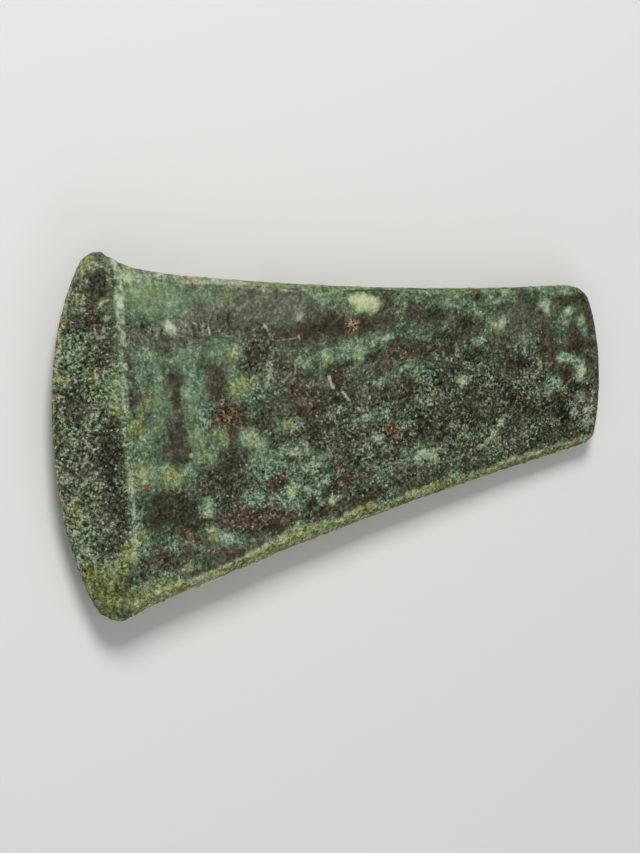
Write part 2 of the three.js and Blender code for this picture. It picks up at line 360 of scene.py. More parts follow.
        (37.5, -3, 2.6, 2.2, 0, 0.8), (30.5, -1.5, 3, 3, 0, 0.4), (33, -6.5, 5, 3, 0, 0.3),
        (32.2, -23.6, 2.6, 3, 0, 0.7), (43.5, -4.5, 3, 2.6, 0, 0.4), (16, -20.5, 4, 4, 0, 0.5),
        (18, -32.5, 10, 3, 12, 0.7), (27, -29.5, 5, 2, 10, 0.4), (47.5, 27, 5, 2, -10, 0.3),
        (53.6, -2.8, 3.4, 2.6, 0, 0.6), (53.3, -17.8, 1.8, 3.6, -20, 0.7), (55.3, -8.4, 6, 2.4, 5, 0.3),
        (63.8, -21, 2.6, 1.6, 0, 0.6), (76.8, 22.3, 5, 3.4, 0, 0.6), (65.6, 11.4, 2.4, 3, 0, 0.4),
        (73.9, 11.2, 3, 3.4, 0, 0.4), (81, 13.6, 3, 1.6, 20, 0.3), (90.3, -14.4, 3, 1.8, 0, 0.6),
        (113, 12.8, 4.5, 3, 0, 0.4), (100.6, 1, 2.4, 2, 0, 0.5), (88.3, 5, 1.4, 2, 0, 0.4),
        (126, 16, 2, 3.6, 20, 0.3), (132.3, 13, 1.6, 1.6, 0, 0.4), (134.2, -3.2, 2, 2, 0, 0.5),
        (133.5, 18, 3, 1.4, 0, 0.4), (105.8, -14.5, 3, 1.2, 40, 0.4),
        (7, -31, 8, 13, 30, 0.5), (76.8, 22.2, 8, 5, 0, 0.6), (42.5, 7.5, 6, 3.4, 0, 0.4),
        (25, -10.5, 10, 4, 0, 0.3), (110.5, 12, 5, 3, 0, 0.3),
    ),
    Patina.OCHRE: (
        (20.4, 8.2, 1.2, 3.8, 0, 0.8), (20.4, 11.6, 0.9, 2.6, 0, 0.4), (17.8, -10.6, 2.8, 2.2, 0, 0.7),
        (18, -6.3, 2, 1.6, 0, 0.3), (25, -8.8, 2.4, 2.6, 20, 0.4), (18.8, 3, 1.6, 3, 0, 0.3),
        (44.3, -4.5, 1.7, 2.0, -20, 0.7), (54, -2.8, 1.6, 1.4, 0, 0.6), (39, 1.8, 6, 4, 0, 0.3),
        (32.7, -23.9, 1.5, 1.8, 0, 0.6), (80.2, -7.9, 2.4, 2.3, 0, 0.75), (27, -23.3, 5.0, 1.4, -38, 0.55),
        (42.2, 14.2, 1.6, 1.6, 0, 0.5), (41.8, 28, 4, 1.6, -8, 0.4), (35, 31.9, 3.6, 1.0, -14, 0.4),
        (77, 22, 2.2, 1.4, 0, 0.4), (136.1, 10.4, 1.5, 1.7, 0, 0.8), (126.5, 16.5, 1.4, 1.8, 0, 0.3),
        (71.8, -24.2, 3, 1.2, 5, 0.7), (93, -22.6, 2.6, 1.2, 0, 0.5), (4.4, -28.6, 3.4, 4.4, 20, 0.3),
        (8.4, -31, 2.6, 3, 0, 0.25), (7.8, -34.6, 3.0, 3.6, 20, 0.35), (2.4, -15, 1.0, 8, 0, 0.4),
        (1.8, -13.0, 1.4, 2.4, 0, 0.5), (8.4, -8.5, 1.5, 1.6, 0, 0.6), (5.2, 27, 1.4, 1.8, 20, 0.8),
        (12.2, 38.8, 1.6, 2.4, 30, 0.6), (3.1, 14.3, 0.9, 2.4, 15, 0.6), (10.2, 15.5, 0.8, 3.6, 0, 0.5),
        (0.7, 1.5, 1.0, 8, 0, 0.5), (0.2, -9, 0.9, 5, 0, 0.5), (14, 6, 1.4, 1.0, -30, 0.3),
    ),
    Patina.RED: (
        (67, 17.6, 25, 4.2, 0, 0.9), (16.8, 16.6, 1.6, 4, 0, 0.9), (16.8, 9, 2.0, 4, 0, 0.6),
        (27.0, 6.5, 2.4, 12, 0, 0.4), (37.4, 8, 4.2, 9, 0, 0.5), (39.5, 1.5, 8, 5, -5, 0.9),
        (40, -2.2, 3, 3, 0, 0.8), (26, -2.5, 5, 7, 0, 0.5), (34.5, 20, 5, 3, 0, 0.5),
        (34.7, 31.9, 4.4, 1.5, -14, 0.9), (47.5, 12, 5, 12, 0, 0.35), (23.5, -16.5, 10, 7, -8, 0.2),
        (36, -12.5, 12, 4, -10, 0.3), (42, -21.5, 16, 4.4, -3, 0.95), (48, -24, 7, 3, 10, 0.7),
        (27, -23.2, 5, 2.2, -38, 0.8), (36, -28.2, 9, 1.8, -8, 0.8), (20.5, -26.5, 3.5, 3.5, 0, 0.6),
        (51, -22.8, 6, 2.2, 14, 0.85), (60, -23.5, 7, 1.8, 8, 0.8), (50, -14, 6, 3.4, 10, 0.6),
        (66, -17.3, 8, 2.4, 18, 0.9), (56.5, -11, 4, 1.2, -15, 0.8), (65.5, -13.5, 5, 2.5, 0, 0.5),
        (59, 1.5, 7, 6, 0, 0.7), (56.8, 5, 2.5, 9, 0, 0.6), (67.3, 5.5, 3, 4.4, -25, 0.8),
        (82, 9.2, 5, 2.6, 28, 0.9), (79, 6, 5, 2.6, 30, 0.6), (86, 9.2, 5, 2.2, 0, 0.6),
        (83.5, 2, 7, 5, 0, 0.5), (83, -2.5, 2.4, 4, -10, 0.4), (89, 18.5, 4, 3.4, 0, 0.6),
        (99.5, 11.5, 3, 2.4, 0, 0.7), (105.5, 14.5, 4, 2.5, -20, 0.6), (97.5, 8.5, 4, 2, 0, 0.5),
        (107.5, -2, 3.4, 1.6, -20, 0.6), (110.5, -7.8, 1.8, 1.6, 0, 0.8), (112.5, -11.5, 2, 1, 0, 0.5),
        (116, -16, 6, 4, 0, 0.4), (108, -17.5, 6, 2.5, 0, 0.5), (114, -5, 6, 3, 0, 0.4),
        (118, 1.5, 7, 4, 0, 0.4), (125.2, 6, 3.6, 7.5, 0, 0.9), (127, 1.5, 4, 3.4, 30, 0.7),
        (133.5, 6, 8, 6, 0, 0.9), (131.7, 16.3, 4, 2, 0, 0.8), (136.5, 15.5, 3, 3, 25, 0.6),
        (128.5, -7, 3.6, 3, 30, 0.8), (130.5, -1.5, 3.4, 4.4, 0, 0.8), (11.8, 27, 2.6, 7, 0, 0.6),
        (8.8, 34.0, 1.4, 3, 30, 0.8), (5.3, 27, 1.6, 2, 0, 0.7), (0.9, 2, 0.8, 7, 0, 0.5),
        (1, 12, 1, 2, 0, 0.7),
        (119, 20.4, 12, 1.0, -4, 0.5), (93, -19.5, 9, 2, 0, 0.5), (101, -7, 8, 4, 0, 0.3),
        (70, -8, 8, 5, 0, 0.35), (79, -13, 6, 5, 0, 0.3),
        (80.2, -8, 3.4, 3.2, 0, 1.0),
    ),
    Patina.DARK: (
        (22.6, -16.5, 12, 10, -8, 0.9), (27, -21, 6, 2.5, -20, 0.5), (25.6, -3, 5, 7, 0, 0.5),
        (27.1, 9, 2.4, 9, 0, 0.5), (27.2, 1.5, 2.6, 4, 0, 0.4), (37.5, 9, 4, 7, 0, 0.45),
        (37.5, 13.2, 5, 1.2, 0, 0.5), (17, 9, 2, 4, 0, 0.6), (21.8, 12, 1.6, 3.6, 25, 0.6),
        (47.5, 12, 4, 10, 0, 0.15), (34, -13, 12, 5, -12, 0.5), (40, -8, 7, 4, 10, 0.6),
        (36.5, -6.5, 2.5, 3, 0, 0.4), (30.2, -20.3, 4, 1, 0, 0.9), (29, -29, 6, 2.5, 10, 0.5),
        (27.3, -31.4, 3.4, 1.6, 10, 0.8), (24, -27, 5, 4, -20, 0.4), (47, -24.5, 6, 2.4, 8, 0.4),
        (42, -24.5, 5, 2, -10, 0.4), (66.5, 17.8, 24, 3.4, 0, 0.7), (54, 17.5, 9, 4, 0, 0.3),
        (69, 9, 5, 2, 0, 0.6), (67.3, 6.2, 2.6, 3.6, -20, 0.6), (60.3, -23.5, 7, 1.5, 6, 0.5),
        (69, -21.8, 8, 2, 6, 0.7), (57.5, -21, 4.5, 1.4, 20, 0.5), (74, -21, 8, 3, 5, 0.4),
        (66, -4, 5, 5, 0, 0.3), (83.6, 1.2, 5.5, 4.4, 0, 0.5), (87.1, 2.6, 1.2, 2.6, 0, 1.0),
        (88, -9, 8, 4, 0, 0.4), (62.5, 22.6, 3, 3, 0, 0.3), (77, 9.5, 5, 2, 20, 0.3),
        (103.5, 6.3, 7, 3, 0, 0.6),
        (113, 16.9, 5, 1.8, 0, 0.8), (94, 17, 7, 3, -4, 0.4), (90, 17.5, 5, 3, 0, 0.3),
        (103, 14, 5, 4, 0, 0.5), (97, 3.5, 8, 4, 10, 0.4), (97, -8, 10, 6, 10, 0.25),
        (117.5, 2, 7, 4.5, 0, 0.5),
        (114, -4, 6, 5, 0, 0.3), (128.2, -10.5, 3.2, 7, 10, 1.0), (129.5, -14.5, 5, 2, 0, 0.5),
        (131, -1.5, 2.4, 3.6, 0, 0.5), (133, -5.5, 4, 1.6, 0, 0.4), (133.3, 4.5, 6, 3, 0, 0.4),
        (132.5, -12.5, 2, 4, 0, 0.4), (122, -9, 6, 4, 0, 0.4), (116, -9.5, 6, 3, 0, 0.4),
        (125, -8, 4, 4, 0, 0.4),
        (11.8, -7, 4.0, 22, 2, 0.9), (12, -22, 2.5, 4, 0, 0.3), (7.5, -2, 4, 4, 0, 0.4),
        (13.6, 33.2, 4.6, 6.5, 20, 0.9),
        (11.9, 27.5, 2.6, 7, 5, 0.7), (13.5, 20, 3.4, 6, 0, 0.5), (12.5, 17, 3, 4, 0, 0.4),
        (8, 9, 5, 8, 0, 0.15), (12, 1, 4, 4, 0, 0.4), (12.5, -31, 5, 6, 20, 0.5), (10, -21, 4, 4, 0, 0.3),
        (20, -27.5, 6, 4, 0, 0.5), (16.5, -29, 4, 5, 0, 0.4), (47.5, -1.5, 4, 5, 0, 0.5),
        (50.5, -4.5, 3, 4, 0, 0.3), (57, -5.2, 6, 2, 0, 0.3), (9, 26, 4, 3, 0, 0.3), (2.5, 8, 3, 8, 0, 0.1),
        (60.5, -6, 5, 5, 0, 0.3), (66, 1, 8, 3, 0, 0.3), (88, 9.5, 6, 2.5, 0, 0.3),
        (90.5, -6.5, 6, 3, 0, 0.3),
        (7, -33, 8, 9, 30, 0.45), (9.5, -37.5, 6, 3, 0, 0.7), (80.2, -8.0, 2.4, 2.2, 0, 0.5),
        (47, 8, 5, 12, 0, 0.15), (29.5, 23.5, 1, 1.4, 0, 0.6), (86.8, 1.0, 0.8, 2, 10, 0.8),
        (6, -17, 5, 10, 0, 0.2), (34, -9, 6, 4, 0, 0.2),
    ),
    Patina.ASH: (
        (51, 24.5, 20, 8, -6, 1.0), (57, 22, 10, 7, 0, 0.5), (21, 21.5, 9, 6, 0, 0.7),
        (33, 22, 14, 8, 0, 0.9),
        (26, 34.3, 9, 2, -12, 0.8), (43, 31, 12, 1.5, -10, 0.4), (66, 22, 12, 4, 0, 0.5),
        (54, 14, 9, 7, 0, 0.9),
        (54, 8.5, 7, 5, 0, 0.7), (83.5, 2, 6, 4.5, 0, 0.6), (92, 17, 8, 5, 0, 0.4),
        (117, 13, 14, 11, 0, 0.8),
        (97, 5, 14, 10, 20, 0.4), (120, -2, 10, 8, 0, 0.6), (134, -11, 8, 8, 0, 0.8),
        (114, -14, 12, 8, 0, 0.6),
        (22, -30, 12, 6, 20, 0.5), (66, -4, 12, 8, 0, 0.4), (76, -14, 12, 10, 0, 0.4),
        (95, -3, 14, 8, 10, 0.5),
        (40, 31, 26, 2.4, -9, 0.5), (20, 34, 8, 3, -25, 0.4), (12, -31, 4, 6, 0, 0.4),
    ),
    Patina.SMOOTH: (
        (25, 29, 20, 8, -5, 1.0), (52, 23, 18, 10, -5, 1.0), (28, 10, 24, 18, 0, 0.5),
        (117, 12, 14, 12, 0, 0.8),
        (131, 8, 14, 16, 0, 0.6), (67, 17.5, 26, 5, 0, 0.6), (83.5, 2, 7, 5, 0, 0.7),
        (76.8, 22.3, 9, 6, 0, 0.5),
        (23, -16, 12, 10, 0, 0.4), (30, -5, 16, 12, 0, 0.4), (132, 1, 10, 8, 0, 0.7),
        (7, -32, 9, 14, 30, 0.8), (12, -31, 4, 7, 0, 0.5), (48, 27, 40, 8, -8, 0.7),
        (90, -14.5, 10, 6, 0, 0.4), (20, -4, 10, 20, 0, 0.4), (127, -3, 8, 6, 0, 0.5),
    ),
    Patina.GRAIN: (
        (7, -2, 16, 56, 0, 0.9), (42, -17, 30, 14, -8, 0.6), (72, -8, 40, 26, 5, 0.7),
        (105, -6, 50, 30, 0, 0.9),
        (48, 11, 8, 16, 0, 0.7), (130, -9, 22, 16, 0, 0.8), (20, -28, 18, 10, 15, 0.4),
        (38, 2, 9, 6, 0, 0.8),
        (9, 22, 10, 18, 0, 0.6),
    ),
}

# Lines on the shown face: x and y of both ends, width, strength.
SCRATCHES: dict[Patina, tuple[tuple[float, ...], ...]] = {
    Patina.COPPER: (
        (52.2, 16.8, 55, 16.4, 0.35, 0.6), (55, 16.4, 58.4, 16.4, 0.35, 0.6),
        (58.4, 16.4, 59.2, 17.4, 0.35, 0.6),
        (59.1, 17.0, 58.8, 15.4, 0.4, 0.6), (57.0, 10.8, 57.2, 8.4, 0.5, 0.8),
        (61.3, 6.8, 60.8, 4.4, 0.4, 0.5),
        
        
        (57.9, 24.8, 59.0, 22.9, 0.4, 0.5), (55.6, 23.6, 58.9, 22.8, 0.4, 0.45),
        (106.0, 0.2, 107.5, -1.8, 0.4, 0.5),
        (62.6, 18.3, 64.2, 16.8, 0.5, 0.4), (65.2, -17.6, 67.4, -17.0, 0.8, 0.3),
        (39.5, -21.2, 43, -20.8, 0.8, 0.3),
        (37.5, 2.4, 40.5, 0.8, 1.2, 0.3), (58.5, 3.0, 60.5, 1.0, 1.0, 0.35),
        (0.8, -25.9, 1.8, -25.4, 0.7, 0.5),
    ),
    Patina.PALE: (
        (50.3, 20.7, 51.6, 18.4, 0.5, 0.6), (51.6, 18.4, 52.2, 16.9, 0.5, 0.5),
        (65.1, 7.2, 65.7, 5.4, 0.65, 1.0),
        (65.7, 5.4, 66.4, 4.0, 0.65, 1.0), (68.2, 3.5, 69.9, 0.7, 0.55, 0.8),
        (36.9, 21.6, 37.0, 19.7, 0.4, 0.6),
        (24.2, -22.4, 29.4, -26.4, 0.5, 0.3), (116, -1.0, 118.2, -4.6, 0.35, 0.5),
        (96.0, -9.5, 96.6, -7.8, 0.5, 0.6),
        (49.6, 19.6, 50.6, 20.4, 0.4, 0.6), (72.9, 15.0, 74.0, 13.2, 0.35, 0.4),
        (72.3, 18.6, 72.8, 17.4, 0.6, 0.7),
        (55.5, 27.5, 60, 26.6, 0.5, 0.3), (80.3, -15.2, 83, -15.8, 0.4, 0.5),
    ),
    Patina.DARK: (
        (42.2, 24.6, 41.7, 22.4, 0.4, 1.0), (41.7, 22.4, 42.0, 20.9, 0.4, 1.0),
        (42.0, 20.9, 43.0, 20.2, 0.4, 1.0),
        (43.0, 20.2, 44.6, 20.1, 0.35, 0.6), (71.5, 25.3, 78, 24.8, 0.35, 0.8),
        (78, 24.8, 84.5, 24.0, 0.35, 0.9),
        (84.5, 24.0, 86.6, 22.4, 0.35, 0.9), (86.2, 21.6, 86.6, 20.4, 0.4, 0.6),
        (37, 30.8, 48, 29.2, 0.35, 0.6),
        (8.2, 32.6, 9.6, 35.4, 0.5, 0.6), (48, 29.2, 60, 27.2, 0.3, 0.4),
    ),
}


# Plan width of the earthy crust along the -Y side: x, width.
CRUST_WIDTHS = (
    (13, 2.6), (20, 2.4), (25, 2.0), (30, 1.7), (36, 1.6), (42, 2.2), (46, 2.8), (50, 3.4), (54.5, 4.4),
    (57, 3.0), (60, 2.4), (65, 2.1), (70, 2.8), (72.5, 2.7), (75, 1.4), (80, 1.6), (85, 1.8), (92, 1.6),
    (95, 2.3), (99, 1.1), (106, 1.1), (110, 1.8), (116, 1.5), (124, 1.1), (138, 1.0),
)


@dataclass(frozen=True)
class Outline:
    """Plan outline of the head in millimetres, with x from the cutting edge."""

    length: float = 140.6
    tip_back: float = 9.7
    butt_bow: float = 3.15
    half_edge: float = 38.05
    half_butt: float = 18.8
    hollow_up: float = 2.57
    hollow_down: float = 1.88

    def upper(self, x: np.ndarray) -> np.ndarray:
        """Return y of the +Y side at x."""
        return self._half(x, self.hollow_up) + 3.7 * np.exp(-np.maximum(x - 15.0, 0) / 3.7)

    def lower(self, x: np.ndarray) -> np.ndarray:
        """Return y of the -Y side at x."""
        flare = 1.2 * np.exp(-np.maximum(x - 10.6, 0) / 1.5)
        return -(self._half(x, self.hollow_down) + flare)

    def _half(self, x: np.ndarray, hollow: float) -> np.ndarray:
        """Return the half width at x of a side that is hollow by this much."""
        along = (x - self.tip_back) / (self.length - self.butt_bow - self.tip_back)
        taper = self.half_edge + (self.half_butt - self.half_edge) * along
        return taper - 4.0 * hollow * along * (1.0 - along)

    def ridge(self, y: np.ndarray) -> np.ndarray:
        """Return the plan x of the ridge along the bevel, painted pale as wear and as a painted highlight.
        """
        return 15.15 + 0.06 * y

    def edge(self, y: np.ndarray) -> np.ndarray:
        """Return x of the cutting edge."""
        share = np.abs(y) / 39.5
        return 9.7 * share**2.4 + 2.75 * y / 39.5

    def butt(self, y: np.ndarray) -> np.ndarray:
        """Return x of the butt."""
        return self.length - self.butt_bow * (y / 19.0) ** 2 + 0.8 * y / 19.0


@dataclass
class Surface:
    """What the relief and the patina need to know about every vertex."""

    solid: np.ndarray
    plan: np.ndarray
    shown: np.ndarray
    normal: np.ndarray
    outline: Outline = field(default_factory=Outline)

    @classmethod
    def read(cls, mesh: bpy.types.Mesh, head: "AxeHead") -> "Surface":
        """Measure a mesh that lies in the frame.

        Args:
            mesh: the mesh, in metres.
            head: gives how the head lies.

        Returns:
            The measured surface.
        """
        count = len(mesh.vertices)
        place = np.empty(count * 3)
        mesh.vertices.foreach_get("co", place)
        place = place.reshape(-1, 3) / MM
        normal = np.empty(count * 3)
        mesh.vertex_normals.foreach_get("vector", normal)
        normal = normal.reshape(-1, 3)
        tilt = math.radians(head.half_taper)
        x = place[:, 0] * math.cos(tilt) - place[:, 2] * math.sin(tilt) - head.edge_x
        z = place[:, 0] * math.sin(tilt) + place[:, 2] * math.cos(tilt) - head.middle_z
        solid = np.column_stack((x, place[:, 1] - head.middle_y, z))
        wander = 0.8 * Grain(5).layered(solid, 5.0, 3)
        shown = smooth_step(-0.6, 0.6, z + wander)
        return cls(solid, solid[:, :2], shown, normal)

    def warped(self, seed: int, wide: float = 1.0) -> np.ndarray:
        """Plan points pushed about, so that patches get ragged outlines.

        Args:
            seed: picks the noise.
            wide: scales how far they are pushed.

        Returns:
            The pushed plan points.
        """
        noise = Grain(seed)
        push = np.column_stack(
            [
                0.75 * noise.layered(self.solid + shift, 3.2, 3)
                + 0.35 * noise.layered(self.solid - shift, 1.1, 2)
                for shift in (0.0, 57.0)
            ]
        )
        return self.plan + wide * push


@dataclass
class Weathering:
    """Lays the patina on a surface, as one amount for each kind."""

    surface: Surface

    def pits(self) -> np.ndarray:
        """Return how deep in a corrosion pit each vertex is, from 0 to 1."""
        near, own = Grain(4).cells(self.surface.solid, 1.9)
        small, mine = Grain(8).cells(self.surface.solid, 1.0)
        large = smooth_step(0.40, 0.15, near) * smooth_step(0.6, 0.9, own)
        return np.maximum(large, 0.7 * smooth_step(0.42, 0.15, small) * (mine > 0.72))

    def grains(self) -> np.ndarray:
        """Return how high on a crust grain each vertex is, from 0 to 1."""
        near, own = Grain(3).cells(self.surface.solid, 1.0)
        return smooth_step(0.55, 0.15, near) * smooth_step(0.3, 0.8, own)

    def nodules(self) -> np.ndarray:
        """Return how high on a nodule of the rough edges each vertex is."""
        surface = self.surface
        x, y = surface.plan.T
        near, own = Grain(6).cells(surface.solid, 1.35)
        bump = smooth_step(0.62, 0.1, near) * smooth_step(0.25, 1.0, own)
        low = smooth_step(3.4, 1.2, y - surface.outline.lower(x))
        high = 0.5 * smooth_step(1.6, 0.5, surface.outline.upper(x) - y)
        blade = 0.75 * smooth_step(2.2, 0.6, x - surface.outline.edge(y))
        return bump * np.maximum(np.maximum(low, high), blade)

    def fields(self) -> dict[object, np.ndarray]:
        """Work out what the material needs.

        Returns:
            Every kind of patina, the level and the share of green.
        """
        x = self.surface.plan[:, 0]
        laid: dict[object, np.ndarray] = dict(self.amounts())
        level = np.interp(x, (10.0, 30.0, 60.0, 95.0, 120.0), (0.50, 0.54, 0.52, 0.47, 0.46))
        green = np.interp(x, (10.0, 30.0, 60.0, 95.0), (0.42, 0.47, 0.38, 0.35))
        on_bevel = smooth_step(-0.6, -1.4, x - self.surface.outline.ridge(self.surface.plan[:, 1]))
        level = level + 0.06 * on_bevel
        # Painted shade and highlight: the level is darker in the pits, partly as dark dirt and partly as
        # painted shade, and lighter on the raised grains and nodules as a painted highlight.
        level = level - 0.13 * self.pits() + 0.06 * self.grains() + 0.10 * self.nodules()
        laid["level"] = level + sum(gain * laid[kind] for kind, gain in LIGHTENS.items())
        laid["green"] = green + sum(gain * laid[kind] for kind, gain in GREENS.items())
        grit = 0.3 + 0.75 * laid[Patina.GRAIN] - 0.22 * laid[Patina.SMOOTH] - 0.1 * laid[Patina.PALE]
        laid["grit"] = np.clip(grit, 0.1, 1.0)
        laid[Patina.ASH] = np.maximum(laid[Patina.ASH], 0.35 * on_bevel * (1.0 - laid[Patina.RED]))
        laid[Patina.LIME] = np.maximum(laid[Patina.LIME], 0.3 * on_bevel)
        return laid

    def amounts(self) -> dict[Patina, np.ndarray]:
        """Work out every kind of patina.

        Returns:
            For each kind, its amount from 0 to 1 at every vertex.
        """
        shown = self._shown_face()
        under = self._under_face()
        side = self.surface.shown
        laid = {kind: side * shown[kind] + (1.0 - side) * under[kind] for kind in Patina}
        self._edge_crust(laid)
        self._bevel(laid)
        return laid

    def _shown_face(self) -> dict[Patina, np.ndarray]:
        """Return the patches and scratches of the shown face."""
        surface = self.surface
        laid = {}
        ragged = surface.warped(11)
        neat = surface.warped(12, 0.12)
        fray = 0.6 * Grain(17).layered(surface.solid, 1.5, 3)
        for kind in Patina:
            bare = np.ones(len(surface.plan))
            crisp = kind in (Patina.PALE, Patina.OCHRE)
            for numbers in SHOWN_STAINS.get(kind, ()):
                stain = Stain(*numbers, crisp=crisp)
                plan = neat if max(stain.length, stain.width) < 2.5 else ragged
                bare *= 1.0 - np.clip(stain.cover(plan, fray), 0.0, 1.0)
            for numbers in SCRATCHES.get(kind, ()):
                bare *= 1.0 - np.clip(Scratch(*numbers).cover(neat), 0.0, 1.0)
            laid[kind] = 1.0 - bare
        for numbers in SCRATCHES[Patina.PALE]:
            cream = Scratch(*numbers).cover(neat)
            laid[Patina.ASH] = np.maximum(laid[Patina.ASH], cream)
            laid[Patina.PALE] += 0.4 * cream
        return laid

    def _under_face(self) -> dict[Patina, np.ndarray]:
        """Return plainer scattered patches for the face it lies on."""
        surface = self.surface
        draw = np.random.default_rng(41)
        counts = {
            Patina.SAGE: (34, 9.0, 0.8), Patina.TEAL: (18, 6.0, 0.6), Patina.PALE: (22, 3.0, 0.8),
            Patina.LIME: (10, 4.0, 0.6), Patina.OCHRE: (12, 2.4, 0.7), Patina.RED: (26, 6.5, 0.7),
            Patina.DARK: (20, 6.5, 0.6), Patina.GRAIN: (6, 50.0, 0.8),
        }
        ragged = surface.warped(13, 1.2)
        laid = {}
        for kind in Patina:
            bare = np.ones(len(surface.plan))
            number, size, strength = counts.get(kind, (0, 1.0, 0.0))
            for _ in range(number):
                x = draw.uniform(2.0, 138.0)
                half = float(surface.outline.upper(np.array([x]))[0])
                y = draw.uniform(-half, half)
                long = size * draw.uniform(0.6, 1.5)
                stain = Stain(x, y, long, long * draw.uniform(0.4, 0.9), draw.uniform(-40, 60))
                bare *= 1.0 - strength * stain.cover(ragged)
            laid[kind] = 1.0 - bare
        return laid

    def _edge_crust(self, laid: dict[Patina, np.ndarray]) -> None:
        """Add the earthy crust along both long sides.

        Args:
            laid: the amounts, which are changed.
        """
        surface = self.surface
        x, y = surface.plan.T
        noise = Grain(21)
        ragged = 0.7 * noise.layered(surface.solid, 2.4, 3) + 0.4 * noise.plain(surface.solid, 9.0)
        inside = y - surface.outline.lower(x)
        wide = 0.5 + np.interp(x, *zip(*CRUST_WIDTHS))
        deep = inside - wide + ragged
        along = smooth_step(10.0, 13.0, x) * (0.8 + 0.2 * noise.plain(surface.solid + 40.0, 6.0))
        crust = smooth_step(0.5, -0.3, deep) * along
        pale_crest_and_highlight = smooth_step(0.9, 0.3, np.abs(deep + 0.1)) * along
        core = smooth_step(-0.5, -1.0, deep) * smooth_step(-0.1, 0.35,
                                                           noise.layered(surface.solid + 80.0, 4.0, 3))
        laid[Patina.LIME] = np.maximum(laid[Patina.LIME], 0.85 * crust)
        laid[Patina.SAGE] = np.maximum(laid[Patina.SAGE], 0.7 * crust)
        flecks = smooth_step(0.0, 0.5, noise.layered(surface.solid + 120.0, 1.8, 3))
        # The pale crest of the crust is partly pale granules and partly a painted highlight, as if lit from
        # above.
        laid[Patina.PALE] = np.maximum(laid[Patina.PALE], pale_crest_and_highlight * (0.45 + 0.55 * flecks))
        laid[Patina.PALE] = np.maximum(laid[Patina.PALE], crust * (0.15 + 0.35 * flecks))
        laid[Patina.OCHRE] = np.maximum(laid[Patina.OCHRE], 0.55 * core * along)
        laid[Patina.GRAIN] = np.maximum(laid[Patina.GRAIN] * (1.0 - crust), 0.45 * crust)
        laid[Patina.RED] *= 1.0 - 0.8 * crust
        laid[Patina.DARK] *= 1.0 - 0.8 * crust
        self._side_patches(laid, noise)
        outside = surface.outline.upper(x) - y
        rim = smooth_step(0.4, -0.4, (outside - 1.0) + 0.9 * ragged) * smooth_step(16.0, 19.0, x)
        left = smooth_step(48.0, 40.0, x)
        laid[Patina.PALE] = np.maximum(laid[Patina.PALE], (0.22 + 0.2 * left) * rim)
        laid[Patina.ASH] = np.maximum(laid[Patina.ASH], 0.7 * left * rim)
        laid[Patina.LIME] = np.maximum(laid[Patina.LIME], 0.35 * (1.0 - left) * rim)

    def _side_patches(self, laid: dict[Patina, np.ndarray], noise: Grain) -> None:
        """Break up the narrow faces with bare, green and chalky places.

        Args:
            laid: the amounts, which are changed.
            noise: gives the outlines of the places.
        """
        surface = self.surface
        height = surface.solid[:, 2]
        side = smooth_step(0.55, 0.85, np.abs(surface.normal[:, 1])) * smooth_step(3.6, 2.0, height)
        long = surface.solid * np.array((0.6, 1.0, 1.0))
        bare = side * smooth_step(0.05, 0.45, noise.layered(long + 150.0, 5.0, 4))
        leaf = side * smooth_step(0.10, 0.50, noise.layered(long + 170.0, 4.0, 4))
        chalk = side * smooth_step(0.20, 0.50, noise.layered(long + 190.0, 2.6, 3))
        laid[Patina.LIME] *= 1.0 - 0.75 * np.maximum(bare, leaf)
        laid[Patina.OCHRE] *= 1.0 - 0.6 * leaf
        laid[Patina.SAGE] *= 1.0 - 0.9 * bare
        laid[Patina.SAGE] = np.maximum(laid[Patina.SAGE], 0.8 * leaf)
        laid[Patina.DARK] = np.maximum(laid[Patina.DARK], 0.55 * bare)
        laid[Patina.RED] = np.maximum(laid[Patina.RED], 0.6 * bare)
        laid[Patina.PALE] = np.maximum(laid[Patina.PALE], 0.6 * chalk)

    def _bevel(self, laid: dict[Patina, np.ndarray]) -> None:
        """Add the pale crease line, partly wear and partly a painted highlight where the ridge catches
        light, and the bright worn cutting edge.

        Args:
            laid: the amounts, which are changed.
        """
        surface = self.surface
        x, y = surface.plan.T
        noise = Grain(31)
        from_ridge = x - surface.outline.ridge(y) + 0.35 * noise.layered(surface.solid, 3.0, 2)
        line = smooth_step(1.05, 0.45, np.abs(from_ridge))
        strength = np.interp(y, (-30.0, -22.0, -12.0, -4.0, 8.0, 22.0, 34.0),
                             (0.2, 0.5, 1.0, 0.5, 0.8, 0.9, 1.0))
        line *= strength * (0.75 + 0.9 * noise.layered(surface.solid, 1.6, 3))
        line = np.clip(line, 0.0, 1.0)
        # Painted highlight: the crease line is made pale and grey, partly as wear and partly as the ridge
        # catching light, and its dark patches are taken away.
        laid[Patina.ASH] = np.maximum(laid[Patina.ASH], line)
        laid[Patina.PALE] = np.maximum(laid[Patina.PALE], line)
        laid[Patina.DARK] *= 1.0 - 0.9 * line
        from_edge = x - surface.outline.edge(y) + 0.3 * noise.layered(surface.solid + 9.0, 2.0, 2)
        rim = smooth_step(0.9, 0.3, from_edge)
        patchy = noise.layered(surface.solid + 66.0, 5.0, 3)
        laid[Patina.RED] = np.maximum(laid[Patina.RED], 0.6 * rim * smooth_step(0.0, 0.35, patchy))
        laid[Patina.OCHRE] = np.maximum(laid[Patina.OCHRE], 0.5 * rim * smooth_step(0.1, 0.4, -patchy))
        laid[Patina.PALE] = np.maximum(laid[Patina.PALE], 0.35 * rim)


